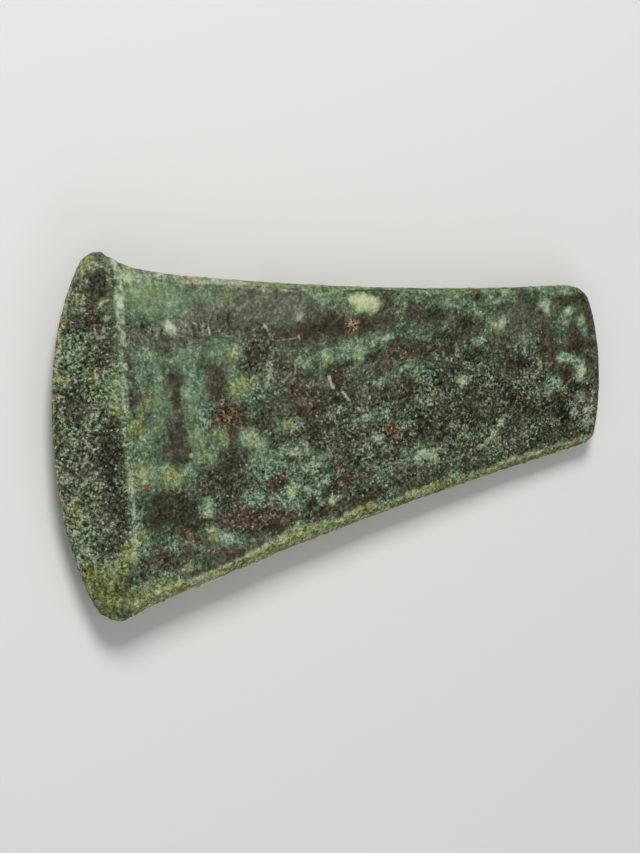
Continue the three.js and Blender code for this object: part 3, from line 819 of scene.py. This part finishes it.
@dataclass
class AxeHead:
    """The cast head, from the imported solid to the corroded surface."""

    node: str = "axe_head"
    name: str = "axe_head_corroded"
    slot: str = "patinated_bronze"
    half_taper: float = 1.2573
    edge_x: float = -70.54
    middle_y: float = -0.72
    middle_z: float = 4.141
    cell: float = 0.34
    most_triangles: int = 190000

    def build(self) -> bpy.types.Object:
        """Make the piece.

        Returns:
            The finished mesh object, without its material.
        """
        piece = self._copy_of_solid()
        self._remesh(piece)
        self._add_relief(piece)
        self._thin_out(piece)
        self._lay_patina(piece)
        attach(piece, "root")
        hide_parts(self.node)
        return piece

    def _copy_of_solid(self) -> bpy.types.Object:
        """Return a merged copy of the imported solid."""
        bpy.ops.object.select_all(action="DESELECT")
        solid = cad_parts[self.node]
        piece = solid.copy()
        piece.data = solid.data.copy()
        piece.name = self.name
        for key in [key for key in piece.keys() if key.startswith("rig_")]:
            del piece[key]
        piece.parent = None
        bpy.context.scene.collection.objects.link(piece)
        piece.select_set(True)
        bpy.context.view_layer.objects.active = piece
        bpy.ops.object.mode_set(mode="EDIT")
        bpy.ops.mesh.select_all(action="SELECT")
        bpy.ops.mesh.remove_doubles(threshold=1e-6)
        bpy.ops.mesh.normals_make_consistent(inside=False)
        bpy.ops.object.mode_set(mode="OBJECT")
        piece.data.materials.clear()
        return piece

    def _remesh(self, piece: bpy.types.Object) -> None:
        """Give the piece even small cells and soften its edges a little."""
        remesh = piece.modifiers.new("even cells", "REMESH")
        remesh.mode = "VOXEL"
        remesh.voxel_size = self.cell * MM
        bpy.ops.object.modifier_apply(modifier=remesh.name)
        soften = piece.modifiers.new("worn edges", "SMOOTH")
        soften.factor = 0.5
        soften.iterations = 2
        bpy.ops.object.modifier_apply(modifier=soften.name)

    def _add_relief(self, piece: bpy.types.Object) -> None:
        """Push the surface in and out by pits, crust, ripples and wear."""
        surface = Surface.read(piece.data, self)
        coat = Weathering(surface)
        height = self._relief(surface, coat, coat.amounts())
        place = np.empty(len(piece.data.vertices) * 3)
        piece.data.vertices.foreach_get("co", place)
        place = place.reshape(-1, 3) + surface.normal * height[:, None] * MM
        place[:, 2] = np.maximum(place[:, 2], 0.0)
        piece.data.vertices.foreach_set("co", place.ravel())
        piece.data.update()

    @staticmethod
    def _relief(surface: Surface, coat: Weathering, laid: dict[Patina, np.ndarray]) -> np.ndarray:
        """Work out how far each vertex moves outwards, in millimetres."""
        solid = surface.solid
        x, y = surface.plan.T
        noise = Grain(3)
        crust = np.maximum(laid[Patina.LIME], laid[Patina.OCHRE])
        rough = laid[Patina.GRAIN]
        height = 0.10 * noise.layered(solid, 17.0, 2)
        height += 0.08 * noise.layered(solid + 31.0, 2.4, 3) * (0.5 + rough + crust)
        height += 0.06 * laid[Patina.SAGE] + 0.10 * laid[Patina.PALE] + 0.14 * crust
        height -= 0.07 * laid[Patina.DARK] + 0.05 * laid[Patina.RED] + 0.06 * laid[Patina.COPPER]
        height += coat.grains() * (0.02 + 0.10 * rough + 0.10 * crust)
        height -= coat.pits() * (0.05 + 0.15 * rough)
        height += 0.32 * coat.nodules()
        height += 0.14 * np.exp(-((x - surface.outline.ridge(y)) ** 2) / 0.7)
        thin = smooth_step(0.0, 3.0, x - surface.outline.edge(y))
        return height * (0.55 + 0.45 * thin)

    def _thin_out(self, piece: bpy.types.Object) -> None:
        """Bring the piece under its number of triangles."""
        plain = piece.vertex_groups.new(name="plainer side")
        shown = Surface.read(piece.data, self).shown
        plain.add(np.flatnonzero(shown > 0.5).tolist(), 0.3, "REPLACE")
        plain.add(np.flatnonzero(shown <= 0.5).tolist(), 1.0, "REPLACE")
        triangles = sum(len(face.vertices) - 2 for face in piece.data.polygons)
        if triangles > self.most_triangles:
            fewer = piece.modifiers.new("fewer triangles", "DECIMATE")
            fewer.vertex_group = plain.name
            fewer.ratio = self.most_triangles / triangles
            bpy.ops.object.modifier_apply(modifier=fewer.name)
        piece.vertex_groups.clear()
        for vertex in piece.data.vertices:
            vertex.co.z = max(vertex.co.z, 0.0)
        bpy.ops.object.shade_smooth()

    def _lay_patina(self, piece: bpy.types.Object) -> None:
        """Write the patina into the colour attributes of the mesh."""
        surface = Surface.read(piece.data, self)
        laid = Weathering(surface).fields()
        for name, kinds in LAYERS.items():
            layer = piece.data.color_attributes.new(name, "FLOAT_COLOR", "POINT")
            values = np.ones((len(surface.plan), 4))
            for column, kind in enumerate(kinds):
                values[:, column] = np.clip(laid[kind], 0.0, 1.0)
            layer.data.foreach_set("color", values.ravel())


@dataclass(frozen=True)
class Tone:
    """A plain colour of the patina, as linear red, green and blue."""

    red: float
    green: float
    blue: float

    @classmethod
    def seen(cls, red: int, green: int, blue: int) -> "Tone":
        """Make a tone from display values of 0 to 255."""
        parts = [value / 255.0 for value in (red, green, blue)]
        linear = [p / 12.92 if p <= 0.04045 else ((p + 0.055) / 1.055) ** 2.4 for p in parts]
        return cls(*linear)

    @property
    def rgba(self) -> tuple[float, float, float, float]:
        """The tone as a socket value."""
        return (self.red, self.green, self.blue, 1.0)


class NodeDesk:
    """A short way to write shader nodes."""

    def __init__(self, material: bpy.types.Material) -> None:
        """Clear the material's nodes.

        Args:
            material: the material to fill.
        """
        material.use_nodes = True
        self.tree = material.node_tree
        self.tree.nodes.clear()

    def add(self, kind: str, **values: object) -> bpy.types.Node:
        """Add a node and set its properties.

        Args:
            kind: Blender's name for the node type.
            values: properties of the node.

        Returns:
            The new node.
        """
        node = self.tree.nodes.new(kind)
        for key, value in values.items():
            setattr(node, key, value)
        return node

    def feed(self, node: bpy.types.Node, **sources: object) -> bpy.types.Node:
        """Connect or set inputs, named in lower case with underscores.

        Args:
            node: the node whose inputs are meant.
            sources: an output socket to link, or a value to set.

        Returns:
            The same node.
        """
        for key, source in sources.items():
            socket = self._socket(node, key)
            if isinstance(source, bpy.types.NodeSocket):
                self.tree.links.new(source, socket)
            else:
                socket.default_value = source
        return node

    @staticmethod
    def _socket(node: bpy.types.Node, key: str) -> bpy.types.NodeSocket:
        """Find an enabled input by its name or by i and its number."""
        if key[0] == "i" and key[1:].isdigit():
            return node.inputs[int(key[1:])]
        wanted = key.replace("_", " ")
        for socket in node.inputs:
            if socket.enabled and socket.name.lower() == wanted:
                return socket
        raise KeyError(f"{node.bl_idname} has no input {key}")

    def math(self, operation: str, first: object, second: object = 0.0) -> bpy.types.NodeSocket:
        """Return the result of a sum on two numbers."""
        node = self.add("ShaderNodeMath", operation=operation)
        return self.feed(node, i0=first, i1=second).outputs[0]

    def noise(self, size: float, detail: float, place: object, **more: float) -> bpy.types.NodeSocket:
        """Return soft noise with features of a size in millimetres."""
        node = self.add("ShaderNodeTexNoise", noise_dimensions="3D")
        self.feed(node, vector=place, scale=1000.0 / size, detail=detail, **more)
        return node.outputs["Fac"]

    def ramp(self, low: float, high: float, source: object) -> bpy.types.NodeSocket:
        """Return 0 below low, 1 above high and a smooth rise between."""
        node = self.add("ShaderNodeMapRange", interpolation_type="SMOOTHSTEP")
        self.feed(node, value=source, from_min=low, from_max=high)
        return node.outputs["Result"]

    def blend(self, share: object, first: object, second: object) -> bpy.types.NodeSocket:
        """Return a mix of two colours."""
        node = self.add("ShaderNodeMix", data_type="RGBA", clamp_factor=True)
        return self.feed(node, i0=share, i6=first, i7=second).outputs[2]

    def tint(self, colour: object, value: object) -> bpy.types.NodeSocket:
        """Return a colour made lighter or darker by a number."""
        node = self.add("ShaderNodeVectorMath", operation="SCALE")
        self.feed(node, i0=colour, i3=value)
        return node.outputs[0]


@dataclass(frozen=True)
class Scale:
    """Colours from the blackest pit to the palest crust, by level."""

    stops: tuple[tuple[float, int, int, int], ...]

    def fill(self, ramp: bpy.types.ColorRamp) -> None:
        """Write the stops into a colour ramp.

        Args:
            ramp: the ramp to fill.
        """
        while len(ramp.elements) > 1:
            ramp.elements.remove(ramp.elements[-1])
        for number, (level, *shown) in enumerate(self.stops):
            stop = ramp.elements[0] if number == 0 else ramp.elements.new(level)
            stop.position = level
            stop.color = Tone.seen(*shown).rgba


@dataclass(frozen=True)
class CorrodedBronze:
    """The finish of the head: mottled patina over brown, dry and matt."""

    brown: Scale = Scale((
        (0.0, 14, 16, 7), (0.2, 37, 39, 22), (0.35, 60, 62, 43), (0.5, 86, 87, 67),
        (0.6, 106, 107, 87), (0.75, 142, 146, 121), (0.9, 188, 192, 165), (1.0, 214, 216, 192),
    ))
    green: Scale = Scale((
        (0.0, 14, 22, 11), (0.2, 43, 58, 38), (0.35, 69, 88, 65), (0.5, 96, 117, 90),
        (0.6, 115, 136, 104), (0.75, 150, 174, 139), (0.9, 190, 208, 173), (1.0, 214, 224, 198),
    ))
    teal: Scale = Scale((
        (0.0, 10, 22, 16), (0.2, 37, 56, 44), (0.35, 59, 82, 69), (0.5, 83, 109, 89),
        (0.6, 103, 132, 108), (0.75, 146, 180, 152), (0.9, 188, 212, 186), (1.0, 214, 228, 208),
    ))
    lime: Scale = Scale((
        (0.0, 18, 20, 6), (0.2, 46, 52, 24), (0.35, 76, 85, 45), (0.5, 106, 119, 64),
        (0.6, 128, 141, 82), (0.75, 164, 178, 114), (0.9, 200, 208, 152), (1.0, 222, 228, 186),
    ))
    red: Scale = Scale((
        (0.0, 18, 14, 6), (0.2, 41, 37, 22), (0.35, 65, 58, 41), (0.5, 90, 79, 60),
        (0.6, 111, 97, 79), (0.75, 156, 135, 111), (0.9, 200, 178, 148), (1.0, 218, 202, 178),
    ))
    ochre: Scale = Scale((
        (0.0, 24, 18, 8), (0.2, 54, 42, 20), (0.35, 90, 69, 32), (0.5, 124, 99, 50),
        (0.6, 144, 118, 62), (0.75, 178, 158, 96), (0.9, 206, 196, 144), (1.0, 224, 218, 178),
    ))
    ash: Scale = Scale((
        (0.0, 14, 16, 9), (0.2, 38, 41, 27), (0.35, 60, 64, 48), (0.5, 86, 92, 74),
        (0.6, 106, 112, 92), (0.75, 150, 157, 132), (0.9, 192, 198, 170), (1.0, 216, 220, 196),
    ))
    copper: Tone = Tone.seen(192, 162, 136)
    bright: Tone = Tone.seen(206, 172, 138)
    star: tuple[float, float, float] = (2.3, 16.9, 8.2)

    def make(self) -> bpy.types.Material:
        """Build the material.

        Returns:
            The finished material.
        """
        material = bpy.data.materials.new("corroded_bronze")
        desk = NodeDesk(material)
        place = desk.add("ShaderNodeTexCoord").outputs["Object"]
        laid = self._laid(desk)
        wavy = self._wavy(desk, place)
        green = self._green(desk, wavy, laid)
        fine = self._fine(desk, place, wavy, laid, green)
        level = desk.math("ADD", laid["level"], fine)
        colour = self._colour(desk, level, laid, wavy, green)
        worn = desk.feed(desk.math("MULTIPLY_ADD", fine, 1.6).node, i2=laid[Patina.COPPER]).outputs[0]
        worn = desk.math("MULTIPLY", desk.ramp(0.3, 0.75, worn), desk.ramp(0.1, 0.4, laid[Patina.COPPER]))
        metal = desk.math("MULTIPLY", worn, 0.4)
        colour = desk.blend(worn, colour, self.copper.rgba)
        colour = desk.blend(self._star(desk, place), colour, self.bright.rgba)
        shader = desk.add("ShaderNodeBsdfPrincipled")
        rough = desk.add("ShaderNodeMapRange", interpolation_type="SMOOTHSTEP")
        desk.feed(rough, value=green, from_min=0.0, from_max=1.0, to_min=0.55, to_max=0.85)
        bump = desk.add("ShaderNodeBump")
        desk.feed(bump, height=fine, strength=1.0, distance=0.55 * MM)
        desk.feed(shader, base_color=colour, roughness=rough.outputs["Result"], metallic=metal)
        desk.feed(shader, normal=bump.outputs[0], specular_ior_level=0.2)
        out = desk.add("ShaderNodeOutputMaterial")
        desk.feed(out, surface=shader.outputs[0])
        return material

    def _star(self, desk: NodeDesk, place: object) -> bpy.types.NodeSocket:
        """Return the burst of fine bare scratches on the shown face."""
        away = desk.add("ShaderNodeVectorMath", operation="SUBTRACT")
        desk.feed(away, i0=place, i1=tuple(part * MM for part in self.star))
        parts = desk.add("ShaderNodeSeparateXYZ")
        desk.feed(parts, vector=away.outputs[0])
        angle = desk.math("ARCTAN2", parts.outputs["Y"], parts.outputs["X"])
        flat = desk.add("ShaderNodeCombineXYZ")
        desk.feed(flat, x=parts.outputs["X"], y=parts.outputs["Y"], z=0.0)
        reach = desk.add("ShaderNodeVectorMath", operation="LENGTH")
        desk.feed(reach, i0=flat.outputs[0])
        rays = desk.add("ShaderNodeTexNoise", noise_dimensions="1D")
        desk.feed(rays, w=angle, scale=4.2, detail=1.0, roughness=0.6)
        broken = desk.math("SUBTRACT", desk.noise(0.6, 2.0, place), 0.5)
        ray = desk.ramp(0.51, 0.60, desk.math("ADD", rays.outputs[0], desk.math("MULTIPLY", broken, 0.8)))
        near = desk.ramp(2.6 * MM, 0.9 * MM, reach.outputs["Value"])
        shown = desk.ramp(self.star[2] * MM - 2.0 * MM, self.star[2] * MM - 1.0 * MM,
                          self._height(desk, place))
        return desk.math("MULTIPLY", desk.math("MULTIPLY", ray, near), shown)

    @staticmethod
    def _height(desk: NodeDesk, place: object) -> bpy.types.NodeSocket:
        """Return how high each place is above the floor."""
        parts = desk.add("ShaderNodeSeparateXYZ")
        return desk.feed(parts, vector=place).outputs["Z"]

    @staticmethod
    def _laid(desk: NodeDesk) -> dict[object, bpy.types.NodeSocket]:
        """Return a socket with the amount of each kind of patina."""
        sockets: dict[object, bpy.types.NodeSocket] = {}
        for name, kinds in LAYERS.items():
            layer = desk.add("ShaderNodeAttribute", attribute_name=name)
            parts = desk.add("ShaderNodeSeparateColor")
            desk.feed(parts, color=layer.outputs["Color"])
            for kind, socket in zip(kinds, parts.outputs):
                sockets[kind] = socket
        return sockets

    @staticmethod
    def _wavy(desk: NodeDesk, place: object) -> bpy.types.NodeSocket:
        """Return places pushed about, which makes the mottling feathery."""
        noise = desk.add("ShaderNodeTexNoise", noise_dimensions="3D")
        desk.feed(noise, vector=place, scale=1000.0 / 2.2, detail=3.0, roughness=0.6)
        centred = desk.add("ShaderNodeVectorMath", operation="SUBTRACT")
        desk.feed(centred, i0=noise.outputs["Color"], i1=(0.5, 0.5, 0.5))
        push = desk.tint(centred.outputs[0], 3.4 * MM)
        moved = desk.add("ShaderNodeVectorMath", operation="ADD")
        return desk.feed(moved, i0=place, i1=push).outputs[0]

    @staticmethod
    def _green(desk: NodeDesk, wavy: object, laid: dict) -> bpy.types.NodeSocket:
        """Return how green each place is, with feathery patch outlines."""
        patches = desk.math("SUBTRACT", desk.noise(4.5, 6.0, wavy, roughness=0.66), 0.5)
        total = desk.math("MULTIPLY_ADD", patches, 1.5)
        desk.feed(total.node, i2=laid["green"])
        total = desk.math("ADD", total, desk.math("MULTIPLY", CorrodedBronze._flow(desk, wavy, 1.6), 0.7))
        return desk.ramp(0.28, 0.66, total)

    @staticmethod
    def _flow(desk: NodeDesk, place: object, size: float) -> bpy.types.NodeSocket:
        """Return noise drawn out in strokes, upright near the blade and slanted behind it."""
        drawn = []
        for turn, stretch in ((0.0, (1.0, 3.5, 1.0)), (28.0, (3.5, 1.0, 1.0))):
            along = desk.add("ShaderNodeMapping", vector_type="TEXTURE")
            desk.feed(along, vector=place, rotation=(0.0, 0.0, math.radians(turn)), scale=stretch)
            drawn.append(desk.noise(size, 2.0, along.outputs[0]))
        parts = desk.add("ShaderNodeSeparateXYZ")
        desk.feed(parts, vector=place)
        behind = desk.ramp(-34.0 * MM, -24.0 * MM, parts.outputs["X"])
        upright = desk.math("MULTIPLY", drawn[0], desk.math("SUBTRACT", 1.0, behind))
        both = desk.feed(desk.math("MULTIPLY_ADD", drawn[1], behind).node, i2=upright).outputs[0]
        return desk.math("SUBTRACT", both, 0.5)

    @staticmethod
    def _fine(desk: NodeDesk, place: object, wavy: object, laid: dict,
              green: object) -> bpy.types.NodeSocket:
        """Return the fine mottling that is added to the level, with pale specks that are partly painted
        glints.
        """
        clusters = desk.feed(desk.math("MULTIPLY_ADD", desk.noise(4.5, 2.0, place), 1.8).node,
                             i2=0.1).outputs[0]
        share = desk.math("MULTIPLY", laid["grit"], clusters)
        patches = desk.math("SUBTRACT", desk.noise(3.0, 4.0, wavy, roughness=0.6), 0.5)
        mottle = desk.math("MULTIPLY", patches, 0.7)
        small = desk.math("SUBTRACT", desk.noise(0.75, 4.0, place, roughness=0.84), 0.5)
        strength = desk.feed(desk.math("MULTIPLY_ADD", share, 0.9).node, i2=0.95).outputs[0]
        grit = desk.math("MULTIPLY", small, strength)
        threads = desk.noise(1.6, 2.0, wavy, roughness=0.5)
        folded = desk.math("ABSOLUTE", desk.math("SUBTRACT", threads, 0.5))
        wisps = desk.math("MULTIPLY", desk.ramp(0.03, 0.0, folded), 0.12)
        wisps = desk.math("MULTIPLY", wisps, desk.math("ADD", green, 0.3))
        mosaic = CorrodedBronze._grains(desk, place, 0.45)
        flakes = desk.math("MULTIPLY", desk.math("SUBTRACT", mosaic[0], 0.5), 0.6)
        dots = CorrodedBronze._grains(desk, place, 1.0)
        body = desk.ramp(0.36, 0.14, dots[1])
        # The pale specks on the grains are partly pale crust and partly painted glints.
        pale_specks_and_glints = desk.math("MULTIPLY", desk.ramp(0.5, 0.9, dots[0]), 0.65)
        sunk = desk.math("MULTIPLY", desk.ramp(0.32, 0.05, dots[0]), -0.5)
        specks = desk.math("MULTIPLY", body, desk.math("ADD", pale_specks_and_glints, sunk))
        grains = desk.math("MULTIPLY", desk.math("ADD", flakes, specks), share)
        mottle = desk.math("ADD", mottle,
                           desk.math("MULTIPLY", CorrodedBronze._flow(desk, place, 0.75), 0.4))
        total = desk.math("ADD", mottle, grit)
        total = desk.math("ADD", total, desk.math("ADD", wisps, grains))
        calm = desk.feed(desk.math("MULTIPLY_ADD", desk.ramp(0.05, 0.3, laid["grit"]), 0.35).node,
                         i2=0.65).outputs[0]
        return desk.math("SUBTRACT", desk.math("MULTIPLY", total, calm), 0.03)

    @staticmethod
    def _grains(desk: NodeDesk, place: object, size: float) -> tuple[object, object]:
        """Return the own level of each grain and the distance from its middle."""
        bend = desk.add("ShaderNodeTexNoise", noise_dimensions="3D")
        desk.feed(bend, vector=place, scale=1000.0 / (1.2 * size), detail=1.0)
        centred = desk.add("ShaderNodeVectorMath", operation="SUBTRACT")
        desk.feed(centred, i0=bend.outputs["Color"], i1=(0.5, 0.5, 0.5))
        push = desk.tint(centred.outputs[0], 1.1 * size * MM)
        moved = desk.add("ShaderNodeVectorMath", operation="ADD")
        desk.feed(moved, i0=place, i1=push)
        cells = desk.add("ShaderNodeTexVoronoi", feature="F1")
        desk.feed(cells, vector=moved.outputs[0], scale=1000.0 / size)
        own = desk.add("ShaderNodeSeparateColor")
        desk.feed(own, color=cells.outputs["Color"])
        return own.outputs[0], cells.outputs["Distance"]

    def _colour(self, desk: NodeDesk, level: object, laid: dict, wavy: object, green: object) -> object:
        """Return the colour for a level, bent by the stains."""
        hues = desk.add("ShaderNodeTexNoise", noise_dimensions="3D")
        desk.feed(hues, vector=wavy, scale=1000.0 / 3.2, detail=4.0, roughness=0.62)
        drift = desk.add("ShaderNodeSeparateColor")
        desk.feed(drift, color=hues.outputs["Color"])
        shares = {}
        for number, (kind, swing) in enumerate(((Patina.RED, 1.5), (Patina.TEAL, 2.1), (Patina.LIME, 2.4))):
            lean = desk.math("MULTIPLY_ADD", desk.math("SUBTRACT", drift.outputs[number], 0.5), swing)
            desk.feed(lean.node, i2=laid[kind])
            shares[kind] = desk.ramp(0.1, 0.8, lean)
        brown = desk.blend(shares[Patina.RED], self._scale(desk, self.brown, level),
                           self._scale(desk, self.red, level))
        grey = self._scale(desk, self.ash, level)
        brown = desk.blend(laid[Patina.ASH], brown, grey)
        mint = desk.blend(shares[Patina.TEAL], self._scale(desk, self.green, level),
                          self._scale(desk, self.teal, level))
        mint = desk.blend(shares[Patina.LIME], mint, self._scale(desk, self.lime, level))
        mint = desk.blend(desk.ramp(0.25, 1.0, laid[Patina.ASH]), mint, grey)
        colour = desk.blend(green, brown, mint)
        return desk.blend(laid[Patina.OCHRE], colour, self._scale(desk, self.ochre, level))

    @staticmethod
    def _scale(desk: NodeDesk, scale: Scale, level: object) -> bpy.types.NodeSocket:
        """Return the colour of a scale at a level."""
        node = desk.add("ShaderNodeValToRGB")
        scale.fill(node.color_ramp)
        return desk.feed(node, fac=level).outputs["Color"]


@dataclass
class Studio:
    """Pale floor, soft lights and the camera."""

    eye: tuple[float, float, float] = (-205.7, 51.3, 411.6)
    aim: tuple[float, float, float] = (-6.79, -5.22, 5.0)
    up: tuple[float, float, float] = (0.14654, 0.98703, -0.06551)
    lens: float = 85.0

    def build(self) -> None:
        """Make the floor, the lights and the camera."""
        self._floor()
        self._lights()
        self._camera()

    @staticmethod
    def _floor() -> None:
        """Lay a plain pale floor under the head."""
        bpy.ops.object.select_all(action="DESELECT")
        bpy.ops.mesh.primitive_plane_add(size=6.0, location=(0.0, 0.0, 0.0))
        floor = bpy.context.object
        floor.name = "floor"
        material = bpy.data.materials.new("pale_floor")
        desk = NodeDesk(material)
        shader = desk.add("ShaderNodeBsdfPrincipled")
        desk.feed(shader, base_color=(0.80, 0.79, 0.77, 1.0), roughness=0.75, specular_ior_level=0.2)
        desk.feed(desk.add("ShaderNodeOutputMaterial"), surface=shader.outputs[0])
        floor.data.materials.append(material)

    def _lights(self) -> None:
        """Hang a broad key light, a weak fill and an even surround."""
        self._lamp("key", (-0.10, 0.72, 0.66), 0.32, 7.6)
        self._lamp("fill", (-0.65, -0.35, 0.6), 0.7, 1.0)
        self._lamp("low fill", (0.15, -0.75, 0.3), 0.5, 1.4)
        world = bpy.data.worlds.new("soft surround")
        bpy.context.scene.world = world
        world.use_nodes = True
        back = world.node_tree.nodes["Background"]
        back.inputs["Color"].default_value = (1.0, 1.0, 1.0, 1.0)
        back.inputs["Strength"].default_value = 0.27

    @staticmethod
    def _lamp(name: str, place: tuple[float, float, float], size: float, power: float) -> None:
        """Hang one square soft light that faces the head."""
        light = bpy.data.lights.new(name, "AREA")
        light.size = size
        light.energy = power
        lamp = bpy.data.objects.new(name, light)
        lamp.location = place
        lamp.rotation_euler = (-Vector(place)).to_track_quat("-Z", "Y").to_euler()
        bpy.context.scene.collection.objects.link(lamp)

    def _camera(self) -> None:
        """Set up the camera."""
        eye, aim = Vector(self.eye) * MM, Vector(self.aim) * MM
        back = (eye - aim).normalized()
        right = Vector(self.up).cross(back).normalized()
        up = back.cross(right)
        data = bpy.data.cameras.new("camera")
        data.lens = self.lens
        data.clip_start = 0.01
        camera = bpy.data.objects.new("camera", data)
        turn = Matrix((right, up, back)).transposed().to_4x4()
        camera.matrix_world = Matrix.Translation(eye) @ turn
        bpy.context.scene.collection.objects.link(camera)
        bpy.context.scene.camera = camera
        bpy.context.scene.view_settings.view_transform = "Standard"


def main() -> None:
    """Build the head and its studio."""
    logging.basicConfig(level=logging.INFO, format="%(name)s: %(message)s")
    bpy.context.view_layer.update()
    piece = AxeHead().build()
    LOG.info("%s has %d faces", piece.name, len(piece.data.polygons))
    piece.data.materials.append(CorrodedBronze().make())
    Studio().build()


if __name__ == "__main__":
    main()
